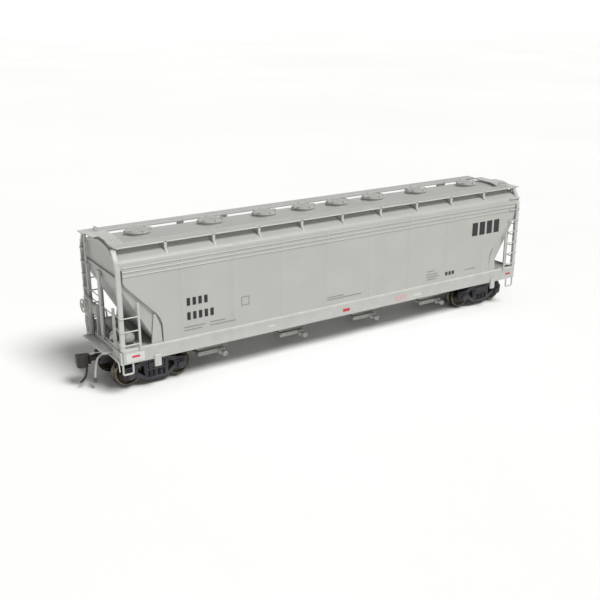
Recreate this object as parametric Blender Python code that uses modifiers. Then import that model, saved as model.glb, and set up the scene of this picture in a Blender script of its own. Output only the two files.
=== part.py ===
"""HO scale covered hopper car: body, running boards, ladders, underframe, trucks and couplers.

Lengths are in millimetres and become metres in the helpers. X runs along the car (the brake end is
-X), Y across it and Z up. Heights are above the rail head; the wheel flanges reach FLANGE_DEPTH
lower, and their lowest points are at z = 0, so every height is raised by that much.
"""
import bpy
import bmesh
from math import cos, pi, radians, sin
from mathutils import Matrix, Vector

MM = 0.001
FLANGE_DEPTH = 0.65
GAP = 0.15                    # glue line between neighbouring pieces

# Body
SIDE_Y = 18.3                 # outer face of the side sheets
END_X = 97.3                  # outer face of the end panels
SIDE_END_X = 96.0             # where the side sheets stop
SIDE_LOW_X = 81.7             # where the lower part of the side sheets stops
BODY_BOTTOM = 17.5
TUB_Y = 17.2                  # the tub inside the side sheets
WALL = 1.0
ROOF_CREST = 55.4
ROOF_DROP = 0.013             # the roof falls by this times the distance from the crest squared
EAVE_Y = 16.0
SHOULDER_Z = 49.8
SLOPE_TOP = 41.2
SLOPE_RATIO = 1.76            # rise over run of the end slope sheets
LAP_HEIGHTS = (45.4, 47.0, 48.6)
LAP_HALF = 0.35
LAP_PROUD = 0.2

# Roof fittings
HATCH_X = (8.5, 27.3, 51.7, 81.7)
HATCH_R = 4.8
COAMING_TOP = 55.95
BOARD_INNER, BOARD_OUTER = 10.2, 16.0
BOARD_TOP, BOARD_THICK = 55.55, 0.4
BOARD_END = 97.2
BRACKET_PITCH = 19.5
CROSS_INNER_X, CROSS_OUTER_X = 92.0, 99.8
CROSS_CREST, CROSS_LEVEL = 56.5, 6.0

# Underframe
SILL_Y = 18.5
SILL_BOTTOM = 12.2
FRAME_END = 98.0
CENTRE_SILL_Y, CENTRE_SILL_Z = 2.6, (13.1, 16.4)
DECK_Z = (16.6, 17.2)
PLATFORM_X, PLATFORM_Y = 102.8, 10.9
BAY_X = (18.9, 56.8)

# Running gear
TRUCK_X = 83.0
WHEELBASE = 20.4
WHEEL_R = 5.25
WHEEL_STEPS = 20
AXLE_HALF = 12.6
KINGPIN_R = 1.05

# Ladders
POST_X = (97.55, 98.75)
RUNG_PITCH = 5.2
RUNG_FIRST = 19.7
RUNG_R = 0.24

# Couplers
COUPLER_PIVOT = 94.0
COUPLER_Z = 9.9
KNUCKLE_PIN = (12.3, 1.9)     # outward from the coupler pivot, and sideways


# ---------------------------------------------------------------- helpers

def clear_scene():
    """Remove every object, so that the script starts from nothing."""
    for thing in list(bpy.data.objects):
        bpy.data.objects.remove(thing, do_unlink=True)


def collection(name):
    """A new collection in the scene."""
    group = bpy.data.collections.new(name)
    bpy.context.scene.collection.children.link(group)
    return group


def paint(name, colour, roughness, metallic=0.0):
    """A plain Principled material."""
    material = bpy.data.materials.new(name)
    material.use_nodes = True
    shader = material.node_tree.nodes["Principled BSDF"]
    shader.inputs["Base Color"].default_value = (*colour, 1.0)
    shader.inputs["Roughness"].default_value = roughness
    shader.inputs["Metallic"].default_value = metallic
    return material


def point(x, y, z):
    """Millimetres and a height above the rail to a world point in metres."""
    return Vector((x, y, z + FLANGE_DEPTH)) * MM


def wrap(name, mesh):
    """A mesh object in the part's collection."""
    thing = bpy.data.objects.new(name, mesh)
    PARTS.objects.link(thing)
    return thing


def from_bmesh(name, bm):
    """Turn a bmesh into an object."""
    mesh = bpy.data.meshes.new(name)
    bmesh.ops.recalc_face_normals(bm, faces=bm.faces)
    bm.to_mesh(mesh)
    bm.free()
    return wrap(name, mesh)


def box(xs, ys, zs, name="box"):
    """A box between two values on each axis."""
    low = point(xs[0], ys[0], zs[0])
    high = point(xs[1], ys[1], zs[1])
    size = high - low
    bm = bmesh.new()
    bmesh.ops.create_cube(bm, size=1.0)
    bmesh.ops.scale(bm, vec=size, verts=bm.verts)
    bmesh.ops.translate(bm, vec=(low + high) / 2, verts=bm.verts)
    return from_bmesh(name, bm)


def rod(start, end, radius, end_radius=None, sides=12, name="rod"):
    """A cylinder or a cone between two points."""
    start, end = point(*start), point(*end)
    axis = end - start
    bm = bmesh.new()
    bmesh.ops.create_cone(bm, cap_ends=True, segments=sides, radius1=radius * MM,
                          radius2=(radius if end_radius is None else end_radius) * MM,
                          depth=axis.length)
    turn = axis.to_track_quat("Z", "Y").to_matrix().to_4x4()
    bmesh.ops.transform(bm, matrix=Matrix.Translation((start + end) / 2) @ turn, verts=bm.verts)
    thing = from_bmesh(name, bm)
    smooth(thing)
    return thing


def smooth(thing, angle=35.0):
    """Smooth shading with sharp edges kept."""
    thing.data.shade_smooth()
    thing.data.set_sharp_from_angle(angle=radians(angle))


def curve_to_mesh(curve, matrix, name):
    """Evaluate a curve with filled ends into a closed mesh in world space."""
    source = bpy.data.objects.new(name, curve)
    PARTS.objects.link(source)
    source.matrix_world = matrix
    bpy.context.view_layer.update()
    graph = bpy.context.evaluated_depsgraph_get()
    mesh = bpy.data.meshes.new_from_object(source.evaluated_get(graph))
    mesh.transform(matrix)
    bpy.data.objects.remove(source, do_unlink=True)
    bm = bmesh.new()
    bm.from_mesh(mesh)
    bmesh.ops.remove_doubles(bm, verts=bm.verts, dist=1e-7)
    bpy.data.meshes.remove(mesh)
    return from_bmesh(name, bm)


PLANES = {
    "XY": Matrix(((1, 0, 0), (0, 1, 0), (0, 0, 1))),
    "XZ": Matrix(((1, 0, 0), (0, 0, -1), (0, 1, 0))),
    "YZ": Matrix(((0, 0, 1), (1, 0, 0), (0, 1, 0))),
}


def plate(plane, outlines, span, name="plate"):
    """A flat outline, with any holes after it, given thickness across its plane.

    plane is XY, XZ or YZ, and span holds the two faces' places on the third axis.
    """
    curve = bpy.data.curves.new(name, "CURVE")
    curve.dimensions = "2D"
    curve.fill_mode = "BOTH"
    curve.extrude = abs(span[1] - span[0]) / 2 * MM
    for outline in outlines:
        spline = curve.splines.new("POLY")
        spline.points.add(len(outline) - 1)
        spline.use_cyclic_u = True
        for spot, (a, b) in zip(spline.points, outline):
            spot.co = (a * MM, b * MM, 0.0, 1.0)
    middle = (span[0] + span[1]) / 2
    place = {"XY": point(0, 0, middle), "XZ": point(0, middle, 0), "YZ": point(middle, 0, 0)}[plane]
    return curve_to_mesh(curve, Matrix.Translation(place) @ PLANES[plane].to_4x4(), name)


def wire(path, radius, name="wire", resolution=2):
    """A round wire through the points of a path."""
    curve = bpy.data.curves.new(name, "CURVE")
    curve.dimensions = "3D"
    curve.bevel_depth = radius * MM
    curve.bevel_resolution = resolution
    curve.use_fill_caps = True
    spline = curve.splines.new("POLY")
    spline.points.add(len(path) - 1)
    for spot, place in zip(spline.points, path):
        spot.co = (*point(*place), 1.0)
    thing = curve_to_mesh(curve, Matrix.Identity(4), name)
    smooth(thing)
    return thing


def turned(name, profile, axis, centre, steps):
    """Spin (radius, distance along the axis) points, given top to bottom, about X, Y or Z."""
    mesh = bpy.data.meshes.new(name)
    mesh.from_pydata([(r * MM, 0.0, a * MM) for r, a in profile],
                     [(i, i + 1) for i in range(len(profile) - 1)], [])
    thing = wrap(name, mesh)
    screw = thing.modifiers.new("Turn", "SCREW")
    screw.steps = steps
    screw.render_steps = steps
    screw.use_merge_vertices = True
    screw.merge_threshold = 1e-6
    bake(thing)
    quarter = pi / 2
    turn = {"X": Matrix.Rotation(quarter, 4, "Y"), "Y": Matrix.Rotation(-quarter, 4, "X"),
            "Z": Matrix.Identity(4)}[axis]
    thing.data.transform(Matrix.Translation(point(*centre)) @ turn)
    smooth(thing)
    return thing


def bake(thing):
    """Apply an object's modifiers."""
    bpy.context.view_layer.update()
    graph = bpy.context.evaluated_depsgraph_get()
    old = thing.data
    fresh = bpy.data.meshes.new_from_object(thing.evaluated_get(graph))
    thing.modifiers.clear()
    thing.data = fresh
    bpy.data.meshes.remove(old)


def combine(base, operation, tools):
    """Join other solids to the base, cut them away, or keep what they share."""
    for tool in tools:
        step = base.modifiers.new(operation, "BOOLEAN")
        step.operation = operation
        step.object = tool
        step.solver = "EXACT"
    bake(base)
    for tool in tools:
        bpy.data.objects.remove(tool, do_unlink=True)
    return base


def join(base, *tools):
    """One body from several that overlap."""
    return combine(base, "UNION", tools)


def cut(base, *tools):
    """The base without the tools."""
    return combine(base, "DIFFERENCE", tools)


def tidy(thing):
    """Weld the crumbs that a Boolean leaves and drop slivers."""
    bm = bmesh.new()
    bm.from_mesh(thing.data)
    bmesh.ops.remove_doubles(bm, verts=bm.verts, dist=2e-6)
    bmesh.ops.dissolve_degenerate(bm, edges=bm.edges, dist=1e-6)
    bmesh.ops.dissolve_limit(bm, angle_limit=radians(0.5), verts=bm.verts, edges=bm.edges)
    bmesh.ops.triangulate(bm, faces=bm.faces)
    bm.to_mesh(thing.data)
    bm.free()


def finish(thing, name, material, angle=35.0):
    """Give a piece its name and its material."""
    thing.name = name
    thing.data.name = name
    thing.data.materials.clear()
    thing.data.materials.append(material)
    smooth(thing, angle)
    return thing


def half_turn(thing, name):
    """A copy turned half round about the car's vertical axis, for the other end."""
    copy = wrap(name, thing.data.copy())
    copy.data.transform(Matrix.Rotation(pi, 4, "Z"))
    copy.data.name = name
    return copy


def set_pivot(thing, pivot):
    """Move an object's origin to its joint without moving its shape."""
    place = point(*pivot)
    thing.data.transform(Matrix.Translation(-place))
    thing.location = place


def mirrored(outline):
    """An outline closed with its own reflection in the first coordinate."""
    return outline + [(-a, b) for a, b in reversed(outline)]


# ---------------------------------------------------------------- body

def roof_height(y, below=0.0):
    """Height of the arched roof at a distance from the centre line."""
    return ROOF_CREST - below - ROOF_DROP * y * y


def shoulder(steps=4, out=0.0):
    """Quarter of the cross-section from the side sheet round to the eave."""
    slope = 2 * ROOF_DROP * EAVE_Y
    eave = roof_height(EAVE_Y)
    corner = eave - slope * (SIDE_Y - EAVE_Y)
    spots = []
    for i in range(steps + 1):
        t = i / steps
        y = (1 - t) ** 2 * SIDE_Y + 2 * t * (1 - t) * SIDE_Y + t * t * EAVE_Y
        z = (1 - t) ** 2 * SHOULDER_Z + 2 * t * (1 - t) * corner + t * t * eave
        spots.append((y + out, z))
    return spots


def body_section():
    """Half of the outer cross-section, from the bottom of the side up to the crest."""
    half = [(SIDE_Y, BODY_BOTTOM)]
    for height in LAP_HEIGHTS:
        half += [(SIDE_Y, height - LAP_HALF), (SIDE_Y + LAP_PROUD, height - LAP_HALF + 0.15),
                 (SIDE_Y + LAP_PROUD, height + LAP_HALF - 0.15), (SIDE_Y, height + LAP_HALF)]
    half += shoulder()
    half += [(y, roof_height(y)) for y in (12.0, 8.0, 4.0)]
    return half + [(0.0, ROOF_CREST)] + [(-y, z) for y, z in reversed(half)]


def slope_x(z, inset=0.0):
    """Place of the end slope sheet at a height."""
    return END_X - inset - (SLOPE_TOP - z) / SLOPE_RATIO


def body_shell():
    """The hollow shell: side sheets with cut corners over a tub with sloping ends."""
    shell = plate("YZ", [body_section()], (-END_X, END_X), "body_shell")
    low, high = BODY_BOTTOM - 2, SIDE_Y + 1
    cutters = []
    for end in (-1, 1):
        wedge = [(end * slope_x(low), low), (end * END_X, SLOPE_TOP), (end * (END_X + 2), SLOPE_TOP),
                 (end * (END_X + 2), low)]
        cutters.append(plate("XZ", [wedge], (-high, high)))
        corner = [(SIDE_LOW_X, low), (SIDE_LOW_X, 25.0), (82.6, 27.4), (84.5, 30.2),
                  (SIDE_END_X - 0.6, 41.9), (SIDE_END_X, 43.3), (SIDE_END_X, 48.0), (END_X + 2, 48.0),
                  (END_X + 2, low)]
        for side in (-1, 1):
            span = sorted((side * TUB_Y, side * high))
            cutters.append(plate("XZ", [[(end * x, z) for x, z in corner]], span))
    cut(shell, *cutters)

    inner_half = [(TUB_Y - 0.9, BODY_BOTTOM - 1), (TUB_Y - 0.9, roof_height(TUB_Y - 0.9, WALL) - 0.5)]
    inner_half += [(y, roof_height(y, WALL)) for y in (14.0, 10.0, 5.0)]
    inside = plate("YZ", [inner_half + [(0.0, ROOF_CREST - WALL)]
                          + [(-y, z) for y, z in reversed(inner_half)]], (-END_X, END_X))
    top_x = END_X - WALL
    slope_start = SLOPE_TOP + (top_x - END_X + 1.15) * SLOPE_RATIO
    hollow = [(slope_x(BODY_BOTTOM - 1, 1.15), BODY_BOTTOM - 1), (top_x, slope_start), (top_x, 60.0)]
    combine(inside, "INTERSECT", [plate("XZ", [mirrored(hollow)], (-high, high))])
    cut(shell, inside)

    extras = []
    for x in sorted([-x for x in HATCH_X] + list(HATCH_X)):
        extras.append(rod((x, 0, ROOF_CREST - 0.75), (x, 0, COAMING_TOP), HATCH_R - 0.3, sides=16))
    for end in (-1, 1):
        faces = sorted((end * (END_X - 0.3), end * (END_X + 0.9)))
        lip = [(TUB_Y - 0.6, 44.0), (TUB_Y - 0.6, 45.1)]
        extras.append(plate("YZ", [mirrored(lip)], sorted((end * (END_X - 0.3), end * (END_X + 0.7)))))
        edge = [(EAVE_Y - 0.7, roof_height(EAVE_Y - 0.7, 0.12)), (8.0, roof_height(8.0, 0.12)),
                (0.0, ROOF_CREST - 0.12)]
        under = [(0.0, ROOF_CREST - 1.5), (8.0, roof_height(8.0, 1.5)),
                 (EAVE_Y - 0.7, roof_height(EAVE_Y - 0.7, 1.5))]
        left = [(-y, z) for y, z in reversed(edge[:-1])]
        right = [(-y, z) for y, z in reversed(under[1:])]
        extras.append(plate("YZ", [edge + left + right + under], faces))
        for side in (-1, 1):
            gusset = sorted((end * 80.8, end * 85.6))
            flank = sorted((side * (TUB_Y - 0.5), side * (TUB_Y + 0.8)))
            extras.append(box(gusset, flank, (BODY_BOTTOM + 0.1, 30.5)))
    join(shell, *extras)
    tidy(shell)
    return finish(shell, "body_shell", GREY_BODY)


# ---------------------------------------------------------------- roof fittings

def hatches():
    """Round roof hatches: rim, lid, hinge towards -X and latch towards +X."""
    base = COAMING_TOP + GAP
    profile = [(0.0, 1.65), (2.6, 1.52), (3.9, 1.15), (4.2, 0.62), (HATCH_R, 0.5), (HATCH_R, 0.0),
               (0.0, 0.0)]
    places = sorted([-x for x in HATCH_X] + list(HATCH_X))
    first = turned("hatch", profile, "Z", (0, 0, base), 14)
    join(first, box((-5.7, -4.2), (-1.0, 1.0), (base + 0.05, base + 1.0)),
         box((4.3, 5.5), (-0.6, 0.6), (base + 0.05, base + 0.85)))
    tidy(first)
    for i, x in enumerate(places):
        lid = wrap("hatch", first.data.copy())
        lid.data.transform(Matrix.Translation((x * MM, 0, 0)))
        finish(lid, f"roof_hatch_{i + 1}", GREY_ROOF)
    bpy.data.objects.remove(first, do_unlink=True)


def running_boards():
    """The near board with its support brackets; the far one is the same turned round."""
    bottom = BOARD_TOP - BOARD_THICK
    foot = roof_height(EAVE_Y) + 0.25
    heel = BOARD_INNER + 0.3
    middle = (heel + BOARD_OUTER) / 2
    board = box((-BOARD_END, BOARD_END), (-BOARD_OUTER, -BOARD_INNER), (bottom, BOARD_TOP))
    extras = []
    for k in range(-4, 5):
        x = k * BRACKET_PITCH
        extras.append(box((x - 0.55, x + 0.55), (-BOARD_OUTER, -BOARD_OUTER + 0.45), (foot, BOARD_TOP)))
        strap = [(-BOARD_OUTER + 0.1, roof_height(15.9, -0.25)), (-middle, roof_height(middle, -0.25)),
                 (-heel, roof_height(heel, -0.25)), (-heel, bottom + 0.1), (-BOARD_OUTER + 0.1, bottom + 0.1)]
        extras.append(plate("YZ", [strap], (x - 0.25, x + 0.25)))
    join(board, *extras)
    tidy(board)
    finish(board, "running_board_near", GREY_ROOF)
    finish(half_turn(board, "far"), "running_board_far", GREY_ROOF)


def crosswalks():
    """A raised plate over the roof crest, with a wider half out to the tall ladder's corner."""
    low = BOARD_THICK
    edge = BOARD_INNER - GAP

    def ribbon(line):
        return line + [(y, z - low) for y, z in reversed(line)]

    arch = [(-edge, BOARD_TOP), (-CROSS_LEVEL, CROSS_CREST), (CROSS_LEVEL, CROSS_CREST), (edge, BOARD_TOP)]
    reach = [(0.4, CROSS_CREST), (CROSS_LEVEL, CROSS_CREST), (edge, BOARD_TOP), (BOARD_OUTER, BOARD_TOP)]
    walk = plate("YZ", [ribbon(arch)], (-BOARD_END, -CROSS_INNER_X))
    join(walk, plate("YZ", [ribbon(reach)], (-CROSS_OUTER_X, -BOARD_END - GAP)),
         plate("YZ", [ribbon(reach[:3])], (-BOARD_END - 0.5, -BOARD_END + 0.5)))
    tidy(walk)
    finish(walk, "crosswalk_left", GREY_ROOF)
    finish(half_turn(walk, "right"), "crosswalk_right", GREY_ROOF)


# ---------------------------------------------------------------- ladders and posts

def corner_post():
    """The corner post at -X, -Y: an upright that follows the side round to the running board."""
    inner = 1.3
    outer = [(-SILL_Y - 0.25, BODY_BOTTOM + GAP), (-SILL_Y - 0.25, 50.0), (-17.9, 52.0), (-16.4, 54.0),
             (-15.4, BOARD_TOP - BOARD_THICK - GAP)]
    back = [(-15.4 + inner, BOARD_TOP - BOARD_THICK - GAP), (-15.4 + inner, 53.4), (-16.6, 51.3),
            (-SILL_Y - 0.25 + inner, 49.4), (-SILL_Y - 0.25 + inner, BODY_BOTTOM + GAP)]
    return plate("YZ", [outer + back], (-POST_X[1], -POST_X[0]))


def grab(start, end, legs, radius=RUNG_R):
    """A straight rung, with a short leg at its far end where it stands off a sheet."""
    pieces = [rod(start, end, radius, sides=6)]
    if legs:
        x, y, z = end
        pieces.append(rod((x - 0.35, y, z), (x - 0.35, -SIDE_Y - LAP_PROUD - 0.12, z), radius * 0.8, sides=5))
    return pieces


def short_ladder():
    """Corner post, side stile and inner end stile with three rungs on each face (at -X, -Y)."""
    side_y = -SILL_Y - 0.45
    end_x = -POST_X[1] + 0.3
    post = corner_post()
    pieces = [box((-91.6, -90.5), (-SILL_Y - 0.6, -SILL_Y + 0.1), (BODY_BOTTOM + GAP, 35.2)),
              box((-98.6, -97.6), (-13.0, -12.0), (BODY_BOTTOM + GAP, 32.4))]
    for k in range(3):
        height = RUNG_FIRST + k * RUNG_PITCH
        pieces += grab((-98.2, side_y, height), (-91.0, side_y, height), False)
        pieces += grab((end_x, -SILL_Y, height + 0.9), (end_x, -12.5, height + 0.9), False)
    join(post, *pieces)
    tidy(post)
    finish(post, "short_ladder_left", GREY_BODY)
    finish(half_turn(post, "right"), "short_ladder_right", GREY_BODY)


def tall_ladder():
    """The same corner at +X, -Y, with rungs up to the roof and a full-height end stile."""
    side_y = -SILL_Y - 0.45
    end_x = -POST_X[1] + 0.3
    post = corner_post()
    pieces = [box((-91.6, -90.5), (-SILL_Y - 0.6, -SILL_Y + 0.1), (BODY_BOTTOM + GAP, 35.2)),
              box((-98.6, -97.6), (-12.9, -11.7), (BODY_BOTTOM + GAP, 43.7)),
              box((-98.75, -98.3), (-12.9, -11.7), (43.4, BOARD_TOP - BOARD_THICK - GAP))]
    for k in range(7):
        height = RUNG_FIRST + k * RUNG_PITCH
        inner_x = -91.0 if k < 3 else -92.2
        rung_y = side_y if k < 6 else -SIDE_Y - 0.25
        pieces += grab((-98.2, rung_y, height), (inner_x, rung_y, height), 3 <= k < 6)
        if k < 6:
            middle = height + RUNG_PITCH / 2
            pieces += grab((end_x, -SILL_Y, middle), (end_x, -12.3, middle), False)
    join(post, *pieces)
    tidy(post)
    post.data.transform(Matrix.Scale(-1, 4, Vector((0, 1, 0))))
    post.data.flip_normals()
    finish(post, "tall_ladder_left", GREY_BODY)
    finish(half_turn(post, "right"), "tall_ladder_right", GREY_BODY)


# ---------------------------------------------------------------- underframe

def side_sills():
    """A channel with its web outside, and two jacking pads."""
    top = BODY_BOTTOM - GAP
    section = [(-SILL_Y, top), (-SILL_Y, SILL_BOTTOM), (-16.3, SILL_BOTTOM), (-16.3, SILL_BOTTOM + 0.7),
               (-17.7, SILL_BOTTOM + 0.7), (-17.7, top - 0.7), (-16.3, top - 0.7), (-16.3, top)]
    sill = plate("YZ", [section], (-FRAME_END + 0.2, FRAME_END - 0.2))
    pads = [box(sorted((end * 83.2, end * 85.9)), (-SILL_Y - 0.55, -SILL_Y + 0.3), (9.2, 13.9))
            for end in (-1, 1)]
    join(sill, *pads)
    tidy(sill)
    finish(sill, "side_sill_near", GREY_BODY)
    finish(half_turn(sill, "far"), "side_sill_far", GREY_BODY)


def centre_sill():
    """The backbone, with a bolster and kingpin boss over each truck and a deck at each end."""
    low, high = CENTRE_SILL_Z
    sill = box((-FRAME_END + 0.2, FRAME_END - 0.2), (-CENTRE_SILL_Y, CENTRE_SILL_Y), (low, high))
    extras = []
    for end in (-1, 1):
        truck = end * TRUCK_X
        bolster = [(16.9 - GAP, DECK_Z[0] + 0.3), (16.1, 14.4), (4.5, low), (-4.5, low), (-16.1, 14.4),
                   (-16.9 + GAP, DECK_Z[0] + 0.3)]
        clear = [(min(y, 16.1) if y > 0 else max(y, -16.1), z) for y, z in bolster]
        extras.append(plate("YZ", [clear], (truck - 2.4, truck + 2.4)))
        extras.append(rod((truck, 0, 11.15), (truck, 0, low + 0.5), 2.9, sides=18))
        ends = sorted((end * 76.2, end * (FRAME_END - 0.2)))
        extras.append(box(ends, (-16.1, 16.1), DECK_Z))
        extras.append(box(ends, (-1.4, 1.4), (high - 0.3, DECK_Z[0] + 0.3)))
    join(sill, *extras)
    holes = [rod((end * TRUCK_X, 0, 10.0), (end * TRUCK_X, 0, 14.9), KINGPIN_R + 0.12, sides=14)
             for end in (-1, 1)]
    cut(sill, *holes)
    tidy(sill)
    finish(sill, "centre_sill", GREY_BODY)


def end_sills():
    """The end plate, its upright to the end panel, and a crossover platform on two brackets."""
    face = (-98.75, -FRAME_END + 0.05)
    sill = box(face, (-18.3, 18.3), (SILL_BOTTOM, BODY_BOTTOM - GAP))
    extras = [box((-PLATFORM_X, -98.5), (-PLATFORM_Y, PLATFORM_Y), (15.0, 15.5)),
              box((-98.6, -FRAME_END + 0.05), (-1.2, 1.2), (BODY_BOTTOM - 1.0, 43.8))]
    for y in (-8.0, 8.0):
        gusset = [(-98.5, 15.2), (-PLATFORM_X + 0.6, 15.2), (-98.5, 12.6)]
        extras.append(plate("XZ", [gusset], (y - 0.3, y + 0.3)))
    join(sill, *extras)
    tidy(sill)
    finish(sill, "end_sill_left", GREY_BODY)
    finish(half_turn(sill, "right"), "end_sill_right", GREY_BODY)


def hopper_bays():
    """Tapered hopper bottoms, notched for the centre sill."""
    top, bottom = BODY_BOTTOM - 0.2, 5.4
    places = (-BAY_X[1], -BAY_X[0], BAY_X[0], BAY_X[1])
    for i, x in enumerate(places):
        bm = bmesh.new()
        bmesh.ops.create_cube(bm, size=1.0)
        for vert in bm.verts:
            upper = vert.co.z > 0
            half = (18.75, 15.9) if upper else (4.6, 5.6)
            vert.co = point(x + 2 * vert.co.x * half[0], 2 * vert.co.y * half[1], top if upper else bottom)
        bay = from_bmesh("bay", bm)
        cut(bay, box((x - 30, x + 30), (-CENTRE_SILL_Y - GAP, CENTRE_SILL_Y + GAP),
                     (CENTRE_SILL_Z[0] - GAP, top + 3)))
        tidy(bay)
        finish(bay, f"hopper_bay_{i + 1}", GREY_BODY)


def outlet_gates():
    """A sliding-gate frame under each bay, with its operating shaft and two square sockets."""
    for i, x in enumerate((-BAY_X[1], -BAY_X[0], BAY_X[0], BAY_X[1])):
        gate = box((x - 5.6, x + 5.6), (-6.9, 6.9), (3.9, 5.4 - GAP))
        tray = box((x - 4.4, x + 4.4), (-5.4, 5.4), (2.9, 4.2))
        shaft = rod((x + 4.3, -10.6, 4.2), (x + 4.3, 10.6, 4.2), 0.5, sides=8)
        sockets = [rod((x + 4.3, side * 9.4, 4.2), (x + 4.3, side * 10.9, 4.2), 0.95, sides=8)
                   for side in (-1, 1)]
        join(gate, tray, shaft, *sockets)
        tidy(gate)
        finish(gate, f"outlet_gate_{i + 1}", GREY_ROOF)


def weight():
    """The steel ballast plate on top of the bays."""
    finish(box((-73.5, 73.5), (-13.5, 13.5), (BODY_BOTTOM, 20.2)), "steel_weight", STEEL)


def stirrups():
    """A bent step under each corner."""
    steps = [(-98.3, SILL_BOTTOM - GAP), (-98.3, 7.9), (-93.7, 7.9), (-93.7, SILL_BOTTOM - GAP),
             (-94.4, SILL_BOTTOM - GAP), (-94.4, 8.6), (-97.6, 8.6), (-97.6, SILL_BOTTOM - GAP)]
    for side, label in ((-1, "near"), (1, "far")):
        span = sorted((side * 17.75, side * 18.35))
        step = plate("XZ", [steps], span)
        finish(step, f"stirrup_left_{label}", GREY_BODY)
        other = "far" if label == "near" else "near"
        finish(half_turn(step, "turned"), f"stirrup_right_{other}", GREY_BODY)


# ---------------------------------------------------------------- brake gear

def brake_gear():
    """Hand brake on the far side of the left end, and air gear on the left deck."""
    housing = box((-100.6, -98.9), (7.9, 13.6), (15.5 + GAP, 30.6))
    join(housing, rod((-100.4, 10.8, 27.3), (-101.15, 10.8, 27.3), 1.6, sides=12))
    tidy(housing)
    finish(housing, "brake_housing", GREY_BODY)

    profile = [(0.0, 0.35), (0.8, 0.35), (0.8, -0.35), (0.0, -0.35)]
    wheel = turned("brake_wheel", profile, "X", (-101.75, 10.8, 27.3), 12)
    rim = [(2.5 + 0.3 * cos(a), 0.3 * sin(a)) for a in (2 * pi * k / 6 for k in range(6))]
    ring = turned("rim", list(reversed(rim + rim[:1])), "X", (-101.75, 10.8, 27.3), 20)
    spokes = []
    for k in range(4):
        angle = k * pi / 4 + pi / 8
        dy, dz = 2.5 * cos(angle), 2.5 * sin(angle)
        spokes.append(rod((-101.75, 10.8 - dy, 27.3 - dz), (-101.75, 10.8 + dy, 27.3 + dz), 0.2, sides=6))
    join(wheel, ring, *spokes)
    tidy(wheel)
    finish(wheel, "brake_wheel", GREY_BODY)

    floor = BODY_BOTTOM
    ends = [(0.0, 5.4), (1.3, 5.1), (2.0, 4.3), (2.0, -4.3), (1.3, -5.1), (0.0, -5.4)]
    tank = turned("tank", ends, "Y", (-92.6, -8.2, floor + 2.6), 14)
    join(tank, box((-93.4, -91.8), (-11.2, -10.2), (floor - 0.1, floor + 1.6)),
         box((-93.4, -91.8), (-6.2, -5.2), (floor - 0.1, floor + 1.6)))
    tidy(tank)
    finish(tank, "air_reservoir", GREY_BODY)

    steps = [(0.0, 4.6), (0.8, 4.6), (0.8, 2.6), (1.9, 2.4), (1.9, -2.8), (0.0, -3.0)]
    cylinder = turned("cylinder", steps, "Y", (-92.6, 5.6, floor + 2.5), 14)
    join(cylinder, box((-93.4, -91.8), (4.4, 6.4), (floor - 0.1, floor + 1.4)))
    tidy(cylinder)
    finish(cylinder, "brake_cylinder", GREY_BODY)

    valve = box((-97.1, -95.3), (-6.9, -3.4), (floor - 0.1, floor + 2.6))
    join(valve, rod((-96.9, -5.9, floor + 1.4), (-97.5, -5.9, floor + 1.4), 0.7, sides=10),
         box((-96.7, -95.7), (-3.6, -2.6), (floor + 0.6, floor + 1.8)))
    tidy(valve)
    finish(valve, "control_valve", GREY_BODY)


def air_hoses():
    """A rigid hose beside each coupler, with its metal end fitting."""
    route = [(-99.0, -5.2, 12.9), (-100.6, -5.2, 12.9), (-102.2, -5.2, 12.2), (-103.3, -5.2, 10.6),
             (-103.9, -5.2, 8.4), (-104.2, -5.2, 6.0), (-104.3, -5.2, 3.4)]
    hose = wire(route, 0.42, "hose", 1)
    join(hose, box((-105.1, -103.7), (-5.9, -4.6), (2.1, 3.8)))
    tidy(hose)
    finish(hose, "air_hose_left", GREY_BODY)
    finish(half_turn(hose, "right"), "air_hose_right", GREY_BODY)


# ---------------------------------------------------------------- trucks

def wheelset_profile():
    """Half of a wheelset: cone point, journal, wheel with tread and flange, and axle."""
    return [(0.0, AXLE_HALF), (0.95, 11.3), (0.95, 10.45), (1.7, 10.3), (1.9, 9.75), (4.3, 9.6),
            (4.6, 9.95), (WHEEL_R, 9.95), (WHEEL_R + 0.1, 7.95), (WHEEL_R + FLANGE_DEPTH, 7.45),
            (WHEEL_R + FLANGE_DEPTH - 0.1, 7.2), (4.5, 7.2), (1.8, 7.5), (1.0, 7.2)]


def wheelset(name, x):
    """Axle and both wheels, one metal turning."""
    half = wheelset_profile()
    profile = half + [(r, -a) for r, a in reversed(half)]
    wheels = turned(name, profile, "Y", (x, 0, WHEEL_R), WHEEL_STEPS)
    tidy(wheels)
    finish(wheels, name, WHEEL_METAL)
    set_pivot(wheels, (x, 0, WHEEL_R))


def sideframe_outline():
    """Outer edge of a cast sideframe, counted from the truck centre, and its holes."""
    half = [(3.6, 1.7), (5.0, 2.1), (7.6, 3.9), (8.6, 3.6), (11.9, 3.6), (12.7, 4.4), (13.0, 7.2),
            (12.3, 8.2), (9.4, 8.4), (6.6, 9.3), (4.2, 9.9)]
    outline = half + [(-x, z) for x, z in reversed(half)]
    window = [(-3.3, 2.9), (3.3, 2.9), (3.3, 8.9), (-3.3, 8.9)]
    light = [(4.7, 3.6), (7.4, 5.6), (7.4, 7.2), (5.0, 8.1)]
    return outline, window, light, [(-x, z) for x, z in reversed(light)]


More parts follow.
